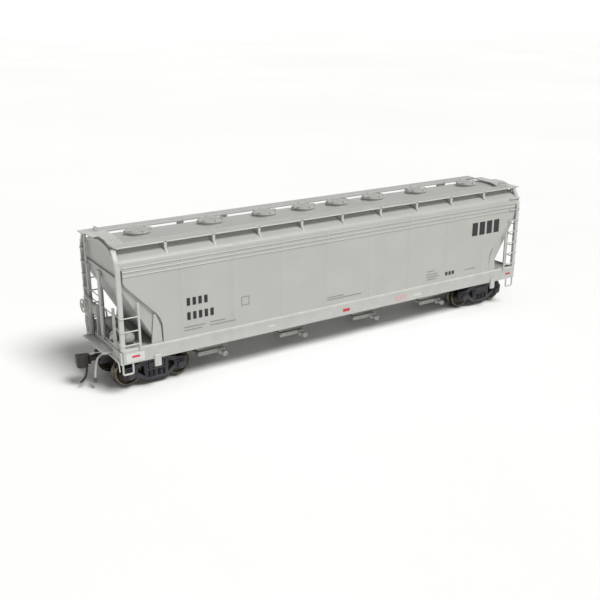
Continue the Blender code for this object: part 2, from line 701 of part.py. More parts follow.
def sideframe(name, truck, side):
    """A sideframe with bearing caps, spring nest and conical axle holes."""
    loops = [[(truck + x, z) for x, z in loop] for loop in sideframe_outline()]
    inner, outer = 11.0, 12.9
    frame = plate("XZ", loops, sorted((side * inner, side * outer)))
    extras = []
    for end in (-1, 1):
        axle = truck + end * WHEELBASE / 2
        extras.append(rod((axle, side * (outer - 0.3), WHEEL_R), (axle, side * 14.0, WHEEL_R), 1.65, 1.45, 10))
        extras.append(box((axle - 1.7, axle + 1.7), sorted((side * (outer - 0.5), side * (outer + 0.5))),
                          (WHEEL_R - 1.4, WHEEL_R + 1.7)))
    for x in (-2.1, 0.0, 2.1):
        extras.append(rod((truck + x, side * 12.0, 2.6), (truck + x, side * 12.0, 6.1), 0.95, sides=6))
    extras.append(box((truck - 3.5, truck + 3.5), sorted((side * (inner + 0.2), side * (outer + 0.3))),
                      (5.6, 6.3)))
    join(frame, *extras)
    holes = []
    for end in (-1, 1):
        axle = truck + end * WHEELBASE / 2
        holes.append(rod((axle, side * 10.8, WHEEL_R), (axle, side * 13.0, WHEEL_R), 1.45, 0.1, 14))
    cut(frame, *holes)
    tidy(frame)
    finish(frame, name, TRUCK_BLACK)


def truck(label, x):
    """One four-wheel truck: bolster, two sideframes, two wheelsets and its kingpin screw."""
    bolster = box((x - 2.7, x + 2.7), (-10.8, 10.8), (6.45, 9.6))
    tips = [box((x - 3.1, x + 3.1), sorted((side * 10.3, side * 13.2)), (6.45, 8.7)) for side in (-1, 1)]
    join(bolster, *tips, rod((x, 0, 9.0), (x, 0, 10.85), 3.1, sides=18))
    cut(bolster, rod((x, 0, 5.0), (x, 0, 12.0), KINGPIN_R + 0.3, sides=18))
    tidy(bolster)
    finish(bolster, f"truck_bolster_{label}", TRUCK_BLACK)
    set_pivot(bolster, (x, 0, WHEEL_R))
    for side, word in ((-1, "near"), (1, "far")):
        sideframe(f"sideframe_{label}_{word}", x, side)
    for end, word in ((-1, "a"), (1, "b")):
        wheelset(f"wheelset_{label}_{word}", x + end * WHEELBASE / 2)
    screw = turned("screw", [(0.0, 14.6), (KINGPIN_R, 14.3), (KINGPIN_R, 6.3), (2.1, 6.25), (2.1, 5.5),
                             (1.7, 5.0), (0.0, 5.0)], "Z", (x, 0, 0), 14)
    cut(screw, box((x - 0.25, x + 0.25), (-3, 3), (4.5, 5.45)))
    tidy(screw)
    finish(screw, f"kingpin_screw_{label}", STEEL)


# ---------------------------------------------------------------- couplers

def outward(u, v):
    """A place on the left coupler: outward from its pivot, and to its side."""
    return (-COUPLER_PIVOT - u, -v)


def draft_box():
    """The box that holds the coupler shank, open at the front, with the pivot post inside."""
    case = box((-101.2, -91.2), (-3.6, 3.6), (8.15, 11.7))
    cut(case, box((-102.0, -91.8), (-3.05, 3.05), (8.7, 11.15)))
    join(case, rod((-COUPLER_PIVOT, 0, 8.4), (-COUPLER_PIVOT, 0, 11.4), 0.75, sides=14))
    lug = box((-97.7, -91.6), (-2.2, 2.2), (11.5, CENTRE_SILL_Z[0] - GAP))
    join(case, lug)
    tidy(case)
    finish(case, "draft_box_left", TRUCK_BLACK)
    finish(half_turn(case, "right"), "draft_box_right", TRUCK_BLACK)


def coupler():
    """Shank with its ring, and the coupler head with its guard arm."""
    low, high = 9.05, 10.8
    shank = box((-COUPLER_PIVOT - 10.8, -COUPLER_PIVOT), (-1.05, 1.05), (low, high))
    hub = rod((-COUPLER_PIVOT, 0, low), (-COUPLER_PIVOT, 0, high), 2.0, sides=16)
    outline = [(10.2, -1.05), (10.7, -1.7), (12.6, -2.1), (14.9, -2.7), (15.2, -1.9), (13.5, -1.1),
               (12.9, -0.3), (12.6, 0.85), (11.3, 0.95), (10.7, 1.6), (10.2, 1.5)]
    head = plate("XY", [[outward(u, v) for u, v in outline]], (8.2, 11.8))
    join(shank, hub, head)
    cut(shank, rod((-COUPLER_PIVOT, 0, 8.0), (-COUPLER_PIVOT, 0, 12.0), 1.0, sides=16))
    tidy(shank)
    finish(shank, "coupler_left", COUPLER_BLACK)
    copy = finish(half_turn(shank, "right"), "coupler_right", COUPLER_BLACK)
    set_pivot(shank, (-COUPLER_PIVOT, 0, COUPLER_Z))
    set_pivot(copy, (COUPLER_PIVOT, 0, COUPLER_Z))


def knuckle():
    """The hooked jaw and its trip pin."""
    pin_u, pin_v = KNUCKLE_PIN
    outline = [(11.6, 1.9), (11.8, 2.6), (13.4, 2.9), (14.8, 2.5), (15.6, 1.4), (15.5, -0.2),
               (14.5, -0.45), (14.3, 0.6), (13.5, 1.2), (12.2, 1.15)]
    jaw = plate("XY", [[outward(u, v) for u, v in outline]], (7.7, 12.4))
    route = [(pin_u, pin_v, 8.2), (pin_u, pin_v, 6.2), (pin_u + 0.3, pin_v, 4.9), (pin_u + 0.9, pin_v, 3.6),
             (pin_u + 1.8, pin_v, 2.5), (pin_u + 2.9, pin_v - 0.2, 1.8)]
    pin = wire([(*outward(u, v), z) for u, v, z in route], 0.4, "pin", 1)
    join(jaw, pin)
    tidy(jaw)
    finish(jaw, "knuckle_left", COUPLER_BLACK)
    copy = finish(half_turn(jaw, "right"), "knuckle_right", COUPLER_BLACK)
    place = outward(pin_u, pin_v)
    set_pivot(jaw, (*place, COUPLER_Z))
    set_pivot(copy, (-place[0], -place[1], COUPLER_Z))


# ---------------------------------------------------------------- the car

clear_scene()
PARTS = collection("model_hopper_car")
GREY_BODY = paint("light grey body", (0.55, 0.55, 0.53), 0.45)
GREY_ROOF = paint("light grey roof fittings", (0.48, 0.48, 0.47), 0.5)
STEEL = paint("steel", (0.42, 0.42, 0.43), 0.4, 1.0)
TRUCK_BLACK = paint("black truck plastic", (0.025, 0.025, 0.028), 0.5)
WHEEL_METAL = paint("blackened wheel metal", (0.12, 0.11, 0.1), 0.35, 1.0)
COUPLER_BLACK = paint("black coupler metal", (0.02, 0.02, 0.02), 0.4)

body_shell()
hatches()
running_boards()
crosswalks()
short_ladder()
tall_ladder()
side_sills()
centre_sill()
end_sills()
hopper_bays()
outlet_gates()
weight()
stirrups()
brake_gear()
air_hoses()
truck("left", -TRUCK_X)
truck("right", TRUCK_X)
draft_box()
coupler()
knuckle()
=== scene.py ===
"""Looks of an HO scale covered hopper car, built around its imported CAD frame.

Lengths are in millimetres and heights are above the rail head; piece() turns them into metres and
raises them by the depth of a wheel flange, which is where the frame's floor lies. X runs along the
car, with the hand brake at -X, and Y across it. Both ends and both sides are alike after half a
turn about the car's upright middle axis, so most fittings are made once and turned.
"""

from math import cos, pi, radians, sin

import bmesh
import bpy
import numpy as np
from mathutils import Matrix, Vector


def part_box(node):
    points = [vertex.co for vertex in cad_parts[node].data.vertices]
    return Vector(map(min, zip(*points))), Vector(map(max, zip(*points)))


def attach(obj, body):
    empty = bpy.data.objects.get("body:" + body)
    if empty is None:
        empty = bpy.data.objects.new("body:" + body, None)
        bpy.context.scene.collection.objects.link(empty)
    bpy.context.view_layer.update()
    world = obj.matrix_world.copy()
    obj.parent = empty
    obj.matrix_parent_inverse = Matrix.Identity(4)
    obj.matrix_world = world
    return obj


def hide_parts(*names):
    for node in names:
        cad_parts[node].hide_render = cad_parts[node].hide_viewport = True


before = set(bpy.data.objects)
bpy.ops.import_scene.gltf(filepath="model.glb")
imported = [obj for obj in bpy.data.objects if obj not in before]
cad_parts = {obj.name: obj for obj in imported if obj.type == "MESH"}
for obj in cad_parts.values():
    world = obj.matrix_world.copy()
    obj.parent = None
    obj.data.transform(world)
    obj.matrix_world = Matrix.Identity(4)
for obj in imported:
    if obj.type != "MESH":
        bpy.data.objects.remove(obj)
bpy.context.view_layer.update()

MM = 0.001
RAIL_Z = 0.65                 # rail head above the frame's floor

# Body
SIDE_Y, END_X, SHEET_END_X = 18.3, 97.3, 96.0
BODY_BOTTOM, SHOULDER_Z = 17.5, 49.8
CREST_Z, ROOF_DROP, EAVE_Y = 55.4, 0.013, 16.0
TUB_Y, SLOPE_TOP, SLOPE_RATIO = 17.2, 41.2, 1.76
LAPS = (45.4, 47.0, 48.6)
SEAMS = -73.4 + 21.5 * np.arange(8)
SHEET = 0.9                   # thickness of the side and roof sheets

# Roof fittings
HATCH_X = (-81.7, -51.7, -27.3, -8.5, 8.5, 27.3, 51.7, 81.7)
HATCH_Z = 55.95
BOARD_LOW, BOARD_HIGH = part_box("running_board_far")
BOARD_Y = (round(BOARD_LOW[1] / MM, 2), round(BOARD_HIGH[1] / MM, 2))
BOARD_Z = (55.15, 55.55)
BOARD_END = 97.2
CROSS_EDGE, CROSS_LEVEL, CROSS_CREST = BOARD_Y[0] - 0.15, 6.0, 56.5
BRACKET_X = 19.5 * np.arange(-4, 5)

# Underframe and running gear
SILL_Y, SILL_Z, SILL_END = 18.5, (12.2, 17.35), 97.8
BAY_X = (-56.8, -18.9, 18.9, 56.8)
TRUCK_X, AXLE_OFF, WHEEL_R, FLANGE_R = 83.0, 10.2, 5.25, 5.9
RUNGS_Z, RUNG_Y = 19.7 + 5.2 * np.arange(7), 18.8
POST_X, POST_WIDTH = -97.6, 1.9
BRAKE_Y, BRAKE_Z = 10.8, 27.3
HOSE_Y, HOSE_Z = -5.2, 12.9
TANK_X = -92.6                # air reservoir and brake cylinder

SMOOTH = radians(32)          # sharper bends than this are shaded as edges
ENDS, SIDES = ("left", "right"), ("near", "far")


# ---------- shapes as whole arrays
# A solid is (points, faces): points is an (n, 3) array and faces a list of (k, corners) arrays.

def quads(rows, columns, ring_rows=False, ring_columns=False):
    """Corner numbers of a grid: the face at (i, j) joins points (i, j), (i, j+1), (i+1, j+1), (i+1, j)."""
    i = np.arange(rows if ring_rows else rows - 1)[:, None]
    j = np.arange(columns if ring_columns else columns - 1)[None, :]
    down, right = (i + 1) % rows, (j + 1) % columns
    corners = [i * columns + j, i * columns + right, down * columns + right, down * columns + j]
    return np.stack(corners, -1).reshape(-1, 4)


def loft(rings, close=False):
    """Rings of equal count skinned in order; the last joins the first, or both ends get flat caps."""
    rings = np.asarray(rings, float)
    rows, columns = rings.shape[:2]
    faces = [quads(rows, columns, close, True)]
    if not close:
        cap = np.arange(columns)[None, :]
        faces += [cap[:, ::-1], cap + (rows - 1) * columns]
    return rings.reshape(-1, 3), faces


def sheet(outer, inner):
    """A sheet with thickness: two grids of the same shape, and four rims that join their edges."""
    rows, columns = outer.shape[:2]
    count = rows * columns
    number = np.arange(count).reshape(rows, columns)
    edge = np.concatenate([number[0], number[1:, -1], number[-1, -2::-1], number[-2:0:-1, 0]])
    following = np.roll(edge, -1)
    rim = np.stack([edge, edge + count, following + count, following], 1)
    faces = [quads(rows, columns), quads(rows, columns)[:, ::-1] + count, rim]
    return np.concatenate([outer.reshape(-1, 3), inner.reshape(-1, 3)]), faces


def inset(outline, distance):
    """Each side of a closed outline moved inwards, with every corner where its moved sides meet."""
    outline = np.asarray(outline, float)
    after = np.roll(outline, -1, 0)
    turn = np.sign(np.sum(outline[:, 0] * after[:, 1] - after[:, 0] * outline[:, 1]))
    along = (after - outline) / np.linalg.norm(after - outline, axis=1)[:, None]
    normal = np.stack([-along[:, 1], along[:, 0]], 1) * turn
    before = np.roll(normal, 1, 0)
    return outline + distance * (normal + before) / (1 + np.sum(normal * before, 1))[:, None]


ORDER = {"XY": [0, 1, 2], "XZ": [0, 2, 1], "YZ": [2, 0, 1]}


def about(middle, half):
    """The two ends of a span around its middle."""
    return middle - half, middle + half


def prism(plane, outline, span, ease=0.07):
    """An outline carried straight across its plane, drawn in by a small easing at both faces."""
    low, high = sorted(span)
    ease = min(ease, 0.3 * (high - low))
    rims = [(low, ease), (low + ease, 0.0), (high - ease, 0.0), (high, ease)]
    rings = [np.column_stack([inset(outline, draw), np.full(len(outline), place)])[:, ORDER[plane]]
             for place, draw in rims]
    return loft(rings)


def block(xs, ys, zs, ease=0.09):
    """A bar with all its edges eased: a rectangle with cut corners as a prism along X."""
    (x0, x1), (y0, y1), (z0, z1) = sorted(xs), sorted(ys), sorted(zs)
    c = min(ease, 0.3 * min(x1 - x0, y1 - y0, z1 - z0))
    outline = [(y0 + c, z0), (y1 - c, z0), (y1, z0 + c), (y1, z1 - c), (y1 - c, z1), (y0 + c, z1),
               (y0, z1 - c), (y0, z0 + c)]
    return prism("YZ", outline, (x0, x1), 0.9 * c)


def lathe(profile, centre, axis="Z", steps=40):
    """A profile of (radius, place on the axis) points turned full circle, closed flat where open."""
    ends = [[(0, place)] if radius > 0 else [] for radius, place in (profile[0], profile[-1])]
    profile = np.array(ends[0] + list(profile) + ends[1], float)
    angle = np.arange(steps) * 2 * pi / steps
    radius, place = profile[1:-1, 0, None], profile[1:-1, 1, None]
    rings = np.stack([radius * np.cos(angle), radius * np.sin(angle), place + 0 * angle], -1)
    count = rings.shape[0] * steps
    poles = np.array([[0, 0, profile[0, 1]], [0, 0, profile[-1, 1]]])
    points = np.concatenate([rings.reshape(-1, 3), poles])
    j = np.arange(steps)
    k = (j + 1) % steps
    last = count - steps
    faces = [quads(rings.shape[0], steps, False, True),
             np.stack([k, j, np.full(steps, count)], 1),
             np.stack([last + j, last + k, np.full(steps, count + 1)], 1)]
    order = {"X": [2, 0, 1], "Y": [1, 2, 0], "Z": [0, 1, 2]}[axis]
    return points[:, order] + np.asarray(centre, float), faces


def curve(a, b, c, steps):
    """Points from a to c on the curve (1-t)^2 a + 2t(1-t) b + t^2 c."""
    t = np.linspace(0, 1, steps)[:, None]
    return (1 - t) ** 2 * np.asarray(a) + 2 * t * (1 - t) * np.asarray(b) + t * t * np.asarray(c)


def eased(path, radius, steps=5):
    """A path with each corner replaced by a curve that starts and ends a radius away from it."""
    path = np.asarray(path, float)
    bits = [path[:1]]
    for a, b, c in zip(path[:-2], path[1:-1], path[2:]):
        back, on = a - b, c - b
        start = b + back * min(radius / np.linalg.norm(back), 0.45)
        end = b + on * min(radius / np.linalg.norm(on), 0.45)
        bits.append(curve(start, b, end, steps))
    return np.vstack(bits + [path[-1:]])


def sweep(path, section, up=None):
    """A closed section carried along a path: side = direction x up, lift = side x direction.

    Each ring lies across its bend, widened by one over the cosine of half the bend's angle.
    """
    path, section = np.asarray(path, float), np.asarray(section, float)
    step = np.diff(path, axis=0)
    step /= np.linalg.norm(step, axis=1)[:, None]
    before, after = np.vstack([step[:1], step]), np.vstack([step, step[-1:]])
    along = (before + after) / np.linalg.norm(before + after, axis=1)[:, None]
    if up is None:
        up = np.eye(3)[np.argmin(np.abs(along).max(0))]
    side = np.cross(along, up)
    side /= np.linalg.norm(side, axis=1)[:, None]
    lift = np.cross(side, along)
    widen = 1 / np.sqrt((1 + np.sum(before * after, 1)) / 2)
    return loft(path[:, None] + side[:, None] * section[None, :, :1] * widen[:, None, None]
                + lift[:, None] * section[None, :, 1:])


def rod(path, radius, sides=10, up=None):
    """A round bar: a circle carried along a path."""
    angle = np.arange(sides) * 2 * pi / sides
    return sweep(path, radius * np.stack([np.cos(angle), np.sin(angle)], 1), up)


def strap(path, width, thickness, up):
    """A flat bar: a rectangle with cut corners carried along a path, its width along up."""
    w, t, c = width / 2, thickness / 2, 0.25 * min(width, thickness)
    section = [(t - c, -w), (t, -w + c), (t, w - c), (t - c, w), (c - t, w), (-t, w - c), (-t, c - w),
               (c - t, -w)]
    return sweep(path, section, up)


def coil(centre, radius, low, high, turns, wire):
    """A spring: centre + radius (cos a, sin a), rising evenly from low to high over its turns."""
    t = np.linspace(0, 1, turns * 14 + 1)
    angle = 2 * pi * turns * t
    path = np.stack([centre[0] + radius * np.cos(angle), centre[1] + radius * np.sin(angle),
                     low + (high - low) * t], 1)
    return rod(path, wire, 6, (0, 0, 1))


def nut(centre, axis, radius, height):
    """A six-sided bolt head with an eased top."""
    return lathe([(radius, 0), (radius, 0.75 * height), (0.8 * radius, height)], centre, axis, 6)


def moved(solids, by):
    """The same solids shifted."""
    return [(points + np.asarray(by, float), faces) for points, faces in solids]


def turned(solids):
    """The same solids half a turn round the car's upright axis: the other end and side."""
    return [(points * [-1, -1, 1], faces) for points, faces in solids]


def reflected(solids):
    """The same solids mirrored to the car's other side, at the same end."""
    return [(points * [1, -1, 1], faces) for points, faces in solids]


def piece(name, body, groups, replaces=()):
    """One mesh object in metres from groups of (material, solids), riding on a body."""
    points, loops, sizes, finish, start = [], [], [], [], 0
    for index, (_, solids) in enumerate(groups):
        for corners, faces in solids:
            points.append(corners)
            for face in faces:
                loops.append((face + start).ravel())
                sizes.append(np.full(len(face), face.shape[1]))
                finish.append(np.full(len(face), index))
            start += len(corners)
    points = (np.concatenate(points) + [0, 0, RAIL_Z]) * MM
    loops, sizes, finish = (np.concatenate(part) for part in (loops, sizes, finish))
    mesh = bpy.data.meshes.new(name)
    mesh.vertices.add(len(points))
    mesh.vertices.foreach_set("co", points.ravel())
    mesh.loops.add(len(loops))
    mesh.loops.foreach_set("vertex_index", loops)
    mesh.polygons.add(len(sizes))
    mesh.polygons.foreach_set("loop_start", np.cumsum(sizes) - sizes)
    mesh.polygons.foreach_set("material_index", finish)
    mesh.update(calc_edges=True)
    settle(name, mesh, [material for material, _ in groups], body, replaces)


def twins(pattern, ending, words, groups):
    """Two pieces on the car, as made and turned to the other end and side; a word fills the {}.

    With an ending, each is named after the node that it replaces.
    """
    for word, turn in zip(words, (list, turned)):
        node = pattern.format(word)
        piece(f"{node}_{ending}" if ending else node, "car",
              [(material, turn(solids)) for material, solids in groups], [node] if ending else ())


def placed(name, data):
    """A new object for a mesh, light or camera, linked into the scene."""
    thing = bpy.data.objects.new(name, data)
    bpy.context.scene.collection.objects.link(thing)
    return thing


def settle(name, mesh, materials, body, replaces):
    """Turn the faces outwards, shade the mesh, and put it in the scene on its body."""
    bm = bmesh.new()
    bm.from_mesh(mesh)
    bmesh.ops.recalc_face_normals(bm, faces=bm.faces)
    bm.to_mesh(mesh)
    bm.free()
    for material in materials:
        mesh.materials.append(material)
    mesh.shade_smooth()
    mesh.set_sharp_from_angle(angle=SMOOTH)
    thing = placed(name, mesh)
    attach(thing, body)
    if replaces:
        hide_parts(*replaces)
    return thing


def softened(node_name, ending, material, body, width, name=None):
    """A CAD node's shape with its edges eased: its points merged, flat faces joined, then bevelled."""
    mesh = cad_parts[node_name].data.copy()
    mesh.materials.clear()
    bm = bmesh.new()
    bm.from_mesh(mesh)
    bmesh.ops.remove_doubles(bm, verts=bm.verts, dist=2e-6)
    bmesh.ops.dissolve_limit(bm, angle_limit=radians(1), verts=bm.verts, edges=bm.edges)
    bm.to_mesh(mesh)
    bm.free()
    thing = settle(name or f"{node_name}_{ending}", mesh, [material], body, [node_name])
    bevel = thing.modifiers.new("eased edges", "BEVEL")
    bevel.width = width * MM
    bevel.segments = 2
    bevel.limit_method = "ANGLE"
    bevel.angle_limit = radians(35)
    bevel.harden_normals = True


# ---------- materials

def ink(code):
    """An sRGB hex colour as linear red, green, blue and alpha."""
    value = np.array([int(code[i:i + 2], 16) for i in (0, 2, 4)]) / 255
    linear = np.where(value <= 0.04045, value / 12.92, ((value + 0.055) / 1.055) ** 2.4)
    return (*linear, 1.0)


def add(tree, kind, settings=None, **inputs):
    """Add a node with its settings. An input named with _ for spaces takes a value or a socket."""
    made = tree.nodes.new("ShaderNode" + kind)
    for key, value in (settings or {}).items():
        setattr(made, key, value)
    for key, value in inputs.items():
        socket = made.inputs[key.replace("_", " ")]
        if isinstance(value, bpy.types.NodeSocket):
            tree.links.new(value, socket)
        else:
            socket.default_value = value
    return made


def surface(name, pale, deep, patch, grain, depth, rough, rough_spread=0.06, **shader_values):
    """A material with a mottled colour, a varied gloss and a fine relief, all on Object coordinates.

    patch and grain are the sizes in mm of the colour's patches and of the relief, depth its height
    in mm, and rough +- rough_spread the roughness. The rest is set on the shader's own sockets.
    """
    material = bpy.data.materials.new(name)
    material.use_nodes = True
    tree = material.node_tree
    tree.nodes.clear()
    place = add(tree, "TexCoord").outputs["Object"]
    mottle = add(tree, "TexNoise", Vector=place, Scale=1 / (patch * MM), Detail=4.0, Roughness=0.6)
    colour = add(tree, "ValToRGB", Fac=mottle.outputs["Fac"])
    for stop, position, code in zip(colour.color_ramp.elements, (0.32, 0.68), (deep, pale)):
        stop.position, stop.color = position, ink(code)
    relief = add(tree, "TexNoise", Vector=place, Scale=1 / (grain * MM), Detail=3.0, Roughness=0.55)
    bump = add(tree, "Bump", Strength=1.0, Distance=depth * MM, Height=relief.outputs["Fac"])
    gloss = add(tree, "MapRange", Value=mottle.outputs["Fac"], From_Min=0.3, From_Max=0.7,
                To_Min=rough - rough_spread, To_Max=rough + rough_spread)
    shader = add(tree, "BsdfPrincipled", Base_Color=colour.outputs["Color"],
                 Roughness=gloss.outputs["Result"], Normal=bump.outputs["Normal"], **shader_values)
    add(tree, "OutputMaterial", Surface=shader.outputs["BSDF"])
    return material


# Satin grey lacquer sprayed on moulded ABS: an even pale grey with a faint warm and cool drift and
# the soft pebble, a third of a millimetre across, that thin model lacquer leaves.
BODY_PAINT = surface("satin_lacquer_on_ABS", "abaca7", "a6a7a2", 14, 0.35, 0.006, 0.46)
# The same lacquer on photo-etched stainless steel, rougher from the etching.
# Its paler tone is painted light, lifting the shade in the grating's gaps to the roof's tone.
ETCH_PAINT = surface("satin_lacquer_on_etched_steel", "c4c5c1", "bcbdb9", 9, 0.22, 0.006, 0.5)
# The same lacquer on small acetal and wire fittings, a touch lighter than on the body.
FITTING_PAINT = surface("satin_lacquer_on_acetal", "babbb6", "b0b1ad", 5, 0.3, 0.005, 0.44)
# The same lacquer on the moulded undersides, darker and more mottled: painted shade under the car.
UNDERSIDE_SHADE_PAINT = surface("lacquer_darkened_for_underside_shade", "a8a9a4", "94948f", 6, 0.3, 0.01, 0.6)
# Glass-filled acetal, unpainted: charcoal, dull, with the short pull marks of its mould.
TRUCK_ACETAL = surface("glass_filled_acetal", "3f3f44", "2f2f33", 2.5, 0.25, 0.012, 0.52)
# Turned brass, chemically blackened: brown-black with rubbed patches, and low gloss.
WHEEL_BLACK = surface("blackened_turned_brass", "453e37", "29241f", 1.8, 0.2, 0.004, 0.42, 0.1,
                      Metallic=0.85)
# The tread and flange edge, rubbed back to dull grey-brown metal by the track.
WHEEL_TREAD = surface("nickel_silver_tread", "726b5f", "565046", 1.2, 0.15, 0.003, 0.3, 0.08,
                      Metallic=1.0)
# Die-cast zinc, blackened: near-black brown, slightly granular.
COUPLER_ZINC = surface("blackened_cast_zinc", "3d3935", "292623", 1.5, 0.22, 0.014, 0.48, 0.08,
                       Metallic=0.35)
# Zinc-plated steel screws and ballast: bright cold grey with a soft bloom.
PLATED_STEEL = surface("zinc_plated_steel", "a5a8ab", "85888b", 2.0, 0.2, 0.003, 0.33, 0.08,
                       Metallic=1.0)
# Moulded synthetic rubber: dark, dry and matte.
HOSE_RUBBER = surface("moulded_rubber", "5d5c5a", "474644", 1.5, 0.2, 0.006, 0.68)
# Pad-printed inks, thinner than the lacquer's pebble: black, thin black, signal red, faded red, white.
BLACK_INK = surface("black_pad_ink", "1d1e20", "17181a", 6, 0.35, 0.005, 0.42)
GREY_INK = surface("thin_black_pad_ink", "8a8b89", "7c7d7b", 1.2, 0.35, 0.005, 0.45)
RED_INK = surface("red_pad_ink", "c2323a", "b02a33", 4, 0.35, 0.005, 0.42)
FAINT_INK = surface("faint_red_pad_ink", "cfaaa8", "c99c9b", 2, 0.35, 0.005, 0.45)
WHITE_INK = surface("white_pad_ink", "c8c9c5", "c0c1bd", 5, 0.35, 0.005, 0.42)


# ---------- body

def roof_z(y, below=0.0):
    """Height of the arched roof: the crest less a constant times the square of y."""
    return CREST_Z - below - ROOF_DROP * np.asarray(y, float) ** 2


def shoulder():
    """Points from the top of the side round to the eave, on a curve tangent at both ends."""
    eave = float(roof_z(EAVE_Y))
    corner = eave - 2 * ROOF_DROP * EAVE_Y * (SIDE_Y - EAVE_Y)
    return curve((SIDE_Y, SHOULDER_Z), (SIDE_Y, corner), (EAVE_Y, eave), 15).T


def crown(start_z):
    """Half a section as (y, z) rows, from a height on the side up to the crest."""
    y, z = shoulder()
    arch = np.linspace(EAVE_Y, 0, 13)[1:]
    return (np.concatenate([[SIDE_Y], y, arch]), np.concatenate([[start_z], z, roof_z(arch)]))


def weld_bead(x):
    """Height of the upright seams on the near side: half a cosine wave, 0.7 mm wide, at each seam."""
    gap = np.abs(x[..., None] - SEAMS).min(-1)
    return 0.07 * np.where(gap < 0.35, np.cos(gap / 0.35 * pi / 2), 0)


def skin(stations, half_y, half_z, welded):
    """Sheet along X from half sections (stations x rows), mirrored over the crest, one sheet thick.

    The weld seams stand proud of a welded sheet, and fade out over the roof.
    """
    y = np.concatenate([-half_y, half_y[:, -2::-1]], 1)
    z = np.concatenate([half_z, half_z[:, -2::-1]], 1)
    x = np.broadcast_to(stations[:, None], y.shape)
    proud = welded * np.where(y < 0, weld_bead(x), weld_bead(-x)) * np.clip((np.abs(y) - 15.5) / 2, 0, 1)
    outer = np.stack([x, y + np.sign(y) * proud, z], -1)
    inner = np.stack([x, y * (1 - SHEET / SIDE_Y), z - SHEET * np.clip((z - 44) / 6, 0, 1)], -1)
    return sheet(outer, inner)


def corner_cut(x):
    """Lower edge of the side sheet: level, upright at the cut, rounded into a straight slope."""
    bend_x, bend_z = curve((81.7, 24.2), (82.0, 27.6), (84.6, 30.4), 9).T
    places = np.concatenate([[0, 81.68], bend_x, [95.3, SHEET_END_X]])
    heights = np.concatenate([[BODY_BOTTOM, BODY_BOTTOM], bend_z, [41.8, 43.3]])
    return np.interp(np.abs(x), places, heights), places


def side_and_roof():
    """Side sheets with cut corners and three rolled laps, and the roof, as one sheet."""
    near = (SEAMS[:, None] + np.array([-0.36, -0.24, -0.12, 0, 0.12, 0.24, 0.36])).ravel()
    _, places = corner_cut(np.zeros(1))
    grid = np.concatenate([near, -near, places, -places, np.linspace(-80, 80, 41),
                           np.linspace(85, 95, 6), -np.linspace(85, 95, 6)])
    stations = np.unique(np.round(grid, 4))
    low, _ = corner_cut(stations)
    part = np.array([0, 0.01, 0.12, 0.3, 0.5, 0.7, 0.88, 1.0])
    wall_z = low[:, None] + (44.85 - low[:, None]) * part
    wall_y = np.full_like(wall_z, SIDE_Y)
    rise = np.array([-0.3, -0.24, -0.14, 0, 0.14, 0.24, 0.3])
    lap_z = (np.array(LAPS)[:, None] + rise).ravel()
    lap_y = np.tile(SIDE_Y + 0.3 * np.cos(rise / 0.3 * pi / 2), len(LAPS))
    top_y, top_z = crown(49.3)
    count = len(stations)
    half_y = np.hstack([wall_y, np.tile(np.concatenate([lap_y, top_y]), (count, 1))])
    half_z = np.hstack([wall_z, np.tile(np.concatenate([lap_z, top_z]), (count, 1))])
    return skin(stations, half_y, half_z, True)


def roof_end(end):
    """The last bit of roof and shoulder over an end panel."""
    stations = np.array(sorted([end * (SHEET_END_X - 0.05), end * 96.7, end * END_X]))
    y, z = crown(47.9)
    return skin(stations, np.tile(y, (3, 1)), np.tile(z, (3, 1)), False)


def tub():
    """The inner tub: rounded rectangles stacked in height whose ends follow the slope sheets.

    Rings run up the outside and down the inside, and the last joins the first.
    """
    def ring(z, inside):
        reach = END_X - inside - max(0.0, SLOPE_TOP - z) / SLOPE_RATIO
        width, corner = TUB_Y - inside, 0.5
        angle = np.linspace(0, pi / 2, 5)
        quarter = [(sx, sy, start) for sx, sy, start in
                   ((1, 1, 0), (-1, 1, pi / 2), (-1, -1, pi), (1, -1, 3 * pi / 2))]
        bits = [np.stack([sx * (reach - corner) + corner * np.cos(angle + start),
                          sy * (width - corner) + corner * np.sin(angle + start),
                          np.full(5, z)], 1) for sx, sy, start in quarter]
        return np.concatenate(bits)

    heights = [BODY_BOTTOM, 20, 30, SLOPE_TOP - 0.1, SLOPE_TOP, 44, 47.6]
    return loft([ring(z, 0) for z in heights] + [ring(z, 1.0) for z in heights[::-1]], close=True)


def end_panel():
    """Arched panel above the tub's end, its rolled roof flange, and the folded lip below it."""
    y = np.linspace(-16.6, 16.6, 25)
    panel = [(-17.1, 47.0)] + list(zip(y, roof_z(y, 0.55))) + [(17.1, 47.0)]
    edge = np.linspace(-15.5, 15.5, 25)
    flange = list(zip(edge, roof_z(edge, 0.1))) + list(zip(edge[::-1], roof_z(edge[::-1], 1.45)))
    lip = [(TUB_Y - 0.7, 43.9), (TUB_Y - 0.6, 45.1), (-TUB_Y + 0.6, 45.1), (-TUB_Y + 0.7, 43.9)]
    return [prism("YZ", panel, (-END_X - 0.05, -96.4)), prism("YZ", flange, (-98.15, -96.9), 0.15),
            prism("YZ", lip, (-98.0, -96.9), 0.15)]


def bolster_web():
    """Tapered web plate that carries the side sheet down to the sill over a truck."""
    web = [(-86.3, 17.6), (-81.9, 17.6), (-82.4, 24.5), (-84.3, 29.6), (-85.0, 29.2)]
    plates = [prism("XZ", web, (side * 17.1, side * 17.95)) for side in (-1, 1)]
    foot = [block((-86.5, -81.9), (side * 16.0, side * 18.1), (17.4, 17.9)) for side in (-1, 1)]
    return plates + foot


def coaming(x):
    """Raised ring under a roof hatch."""
    profile = [(4.75, -0.9), (4.62, -0.1), (4.5, 0.1), (4.5, 0.5), (4.4, 0.56)]
    return lathe(profile, (x, 0, CREST_Z), steps=48)


ends = end_panel() + bolster_web()
piece("hopper_body", "car",
      [(BODY_PAINT, [side_and_roof(), roof_end(-1), roof_end(1), tub()] + ends + turned(ends)
        + [coaming(x) for x in HATCH_X])], ["body_shell"])


# ---------- hatches

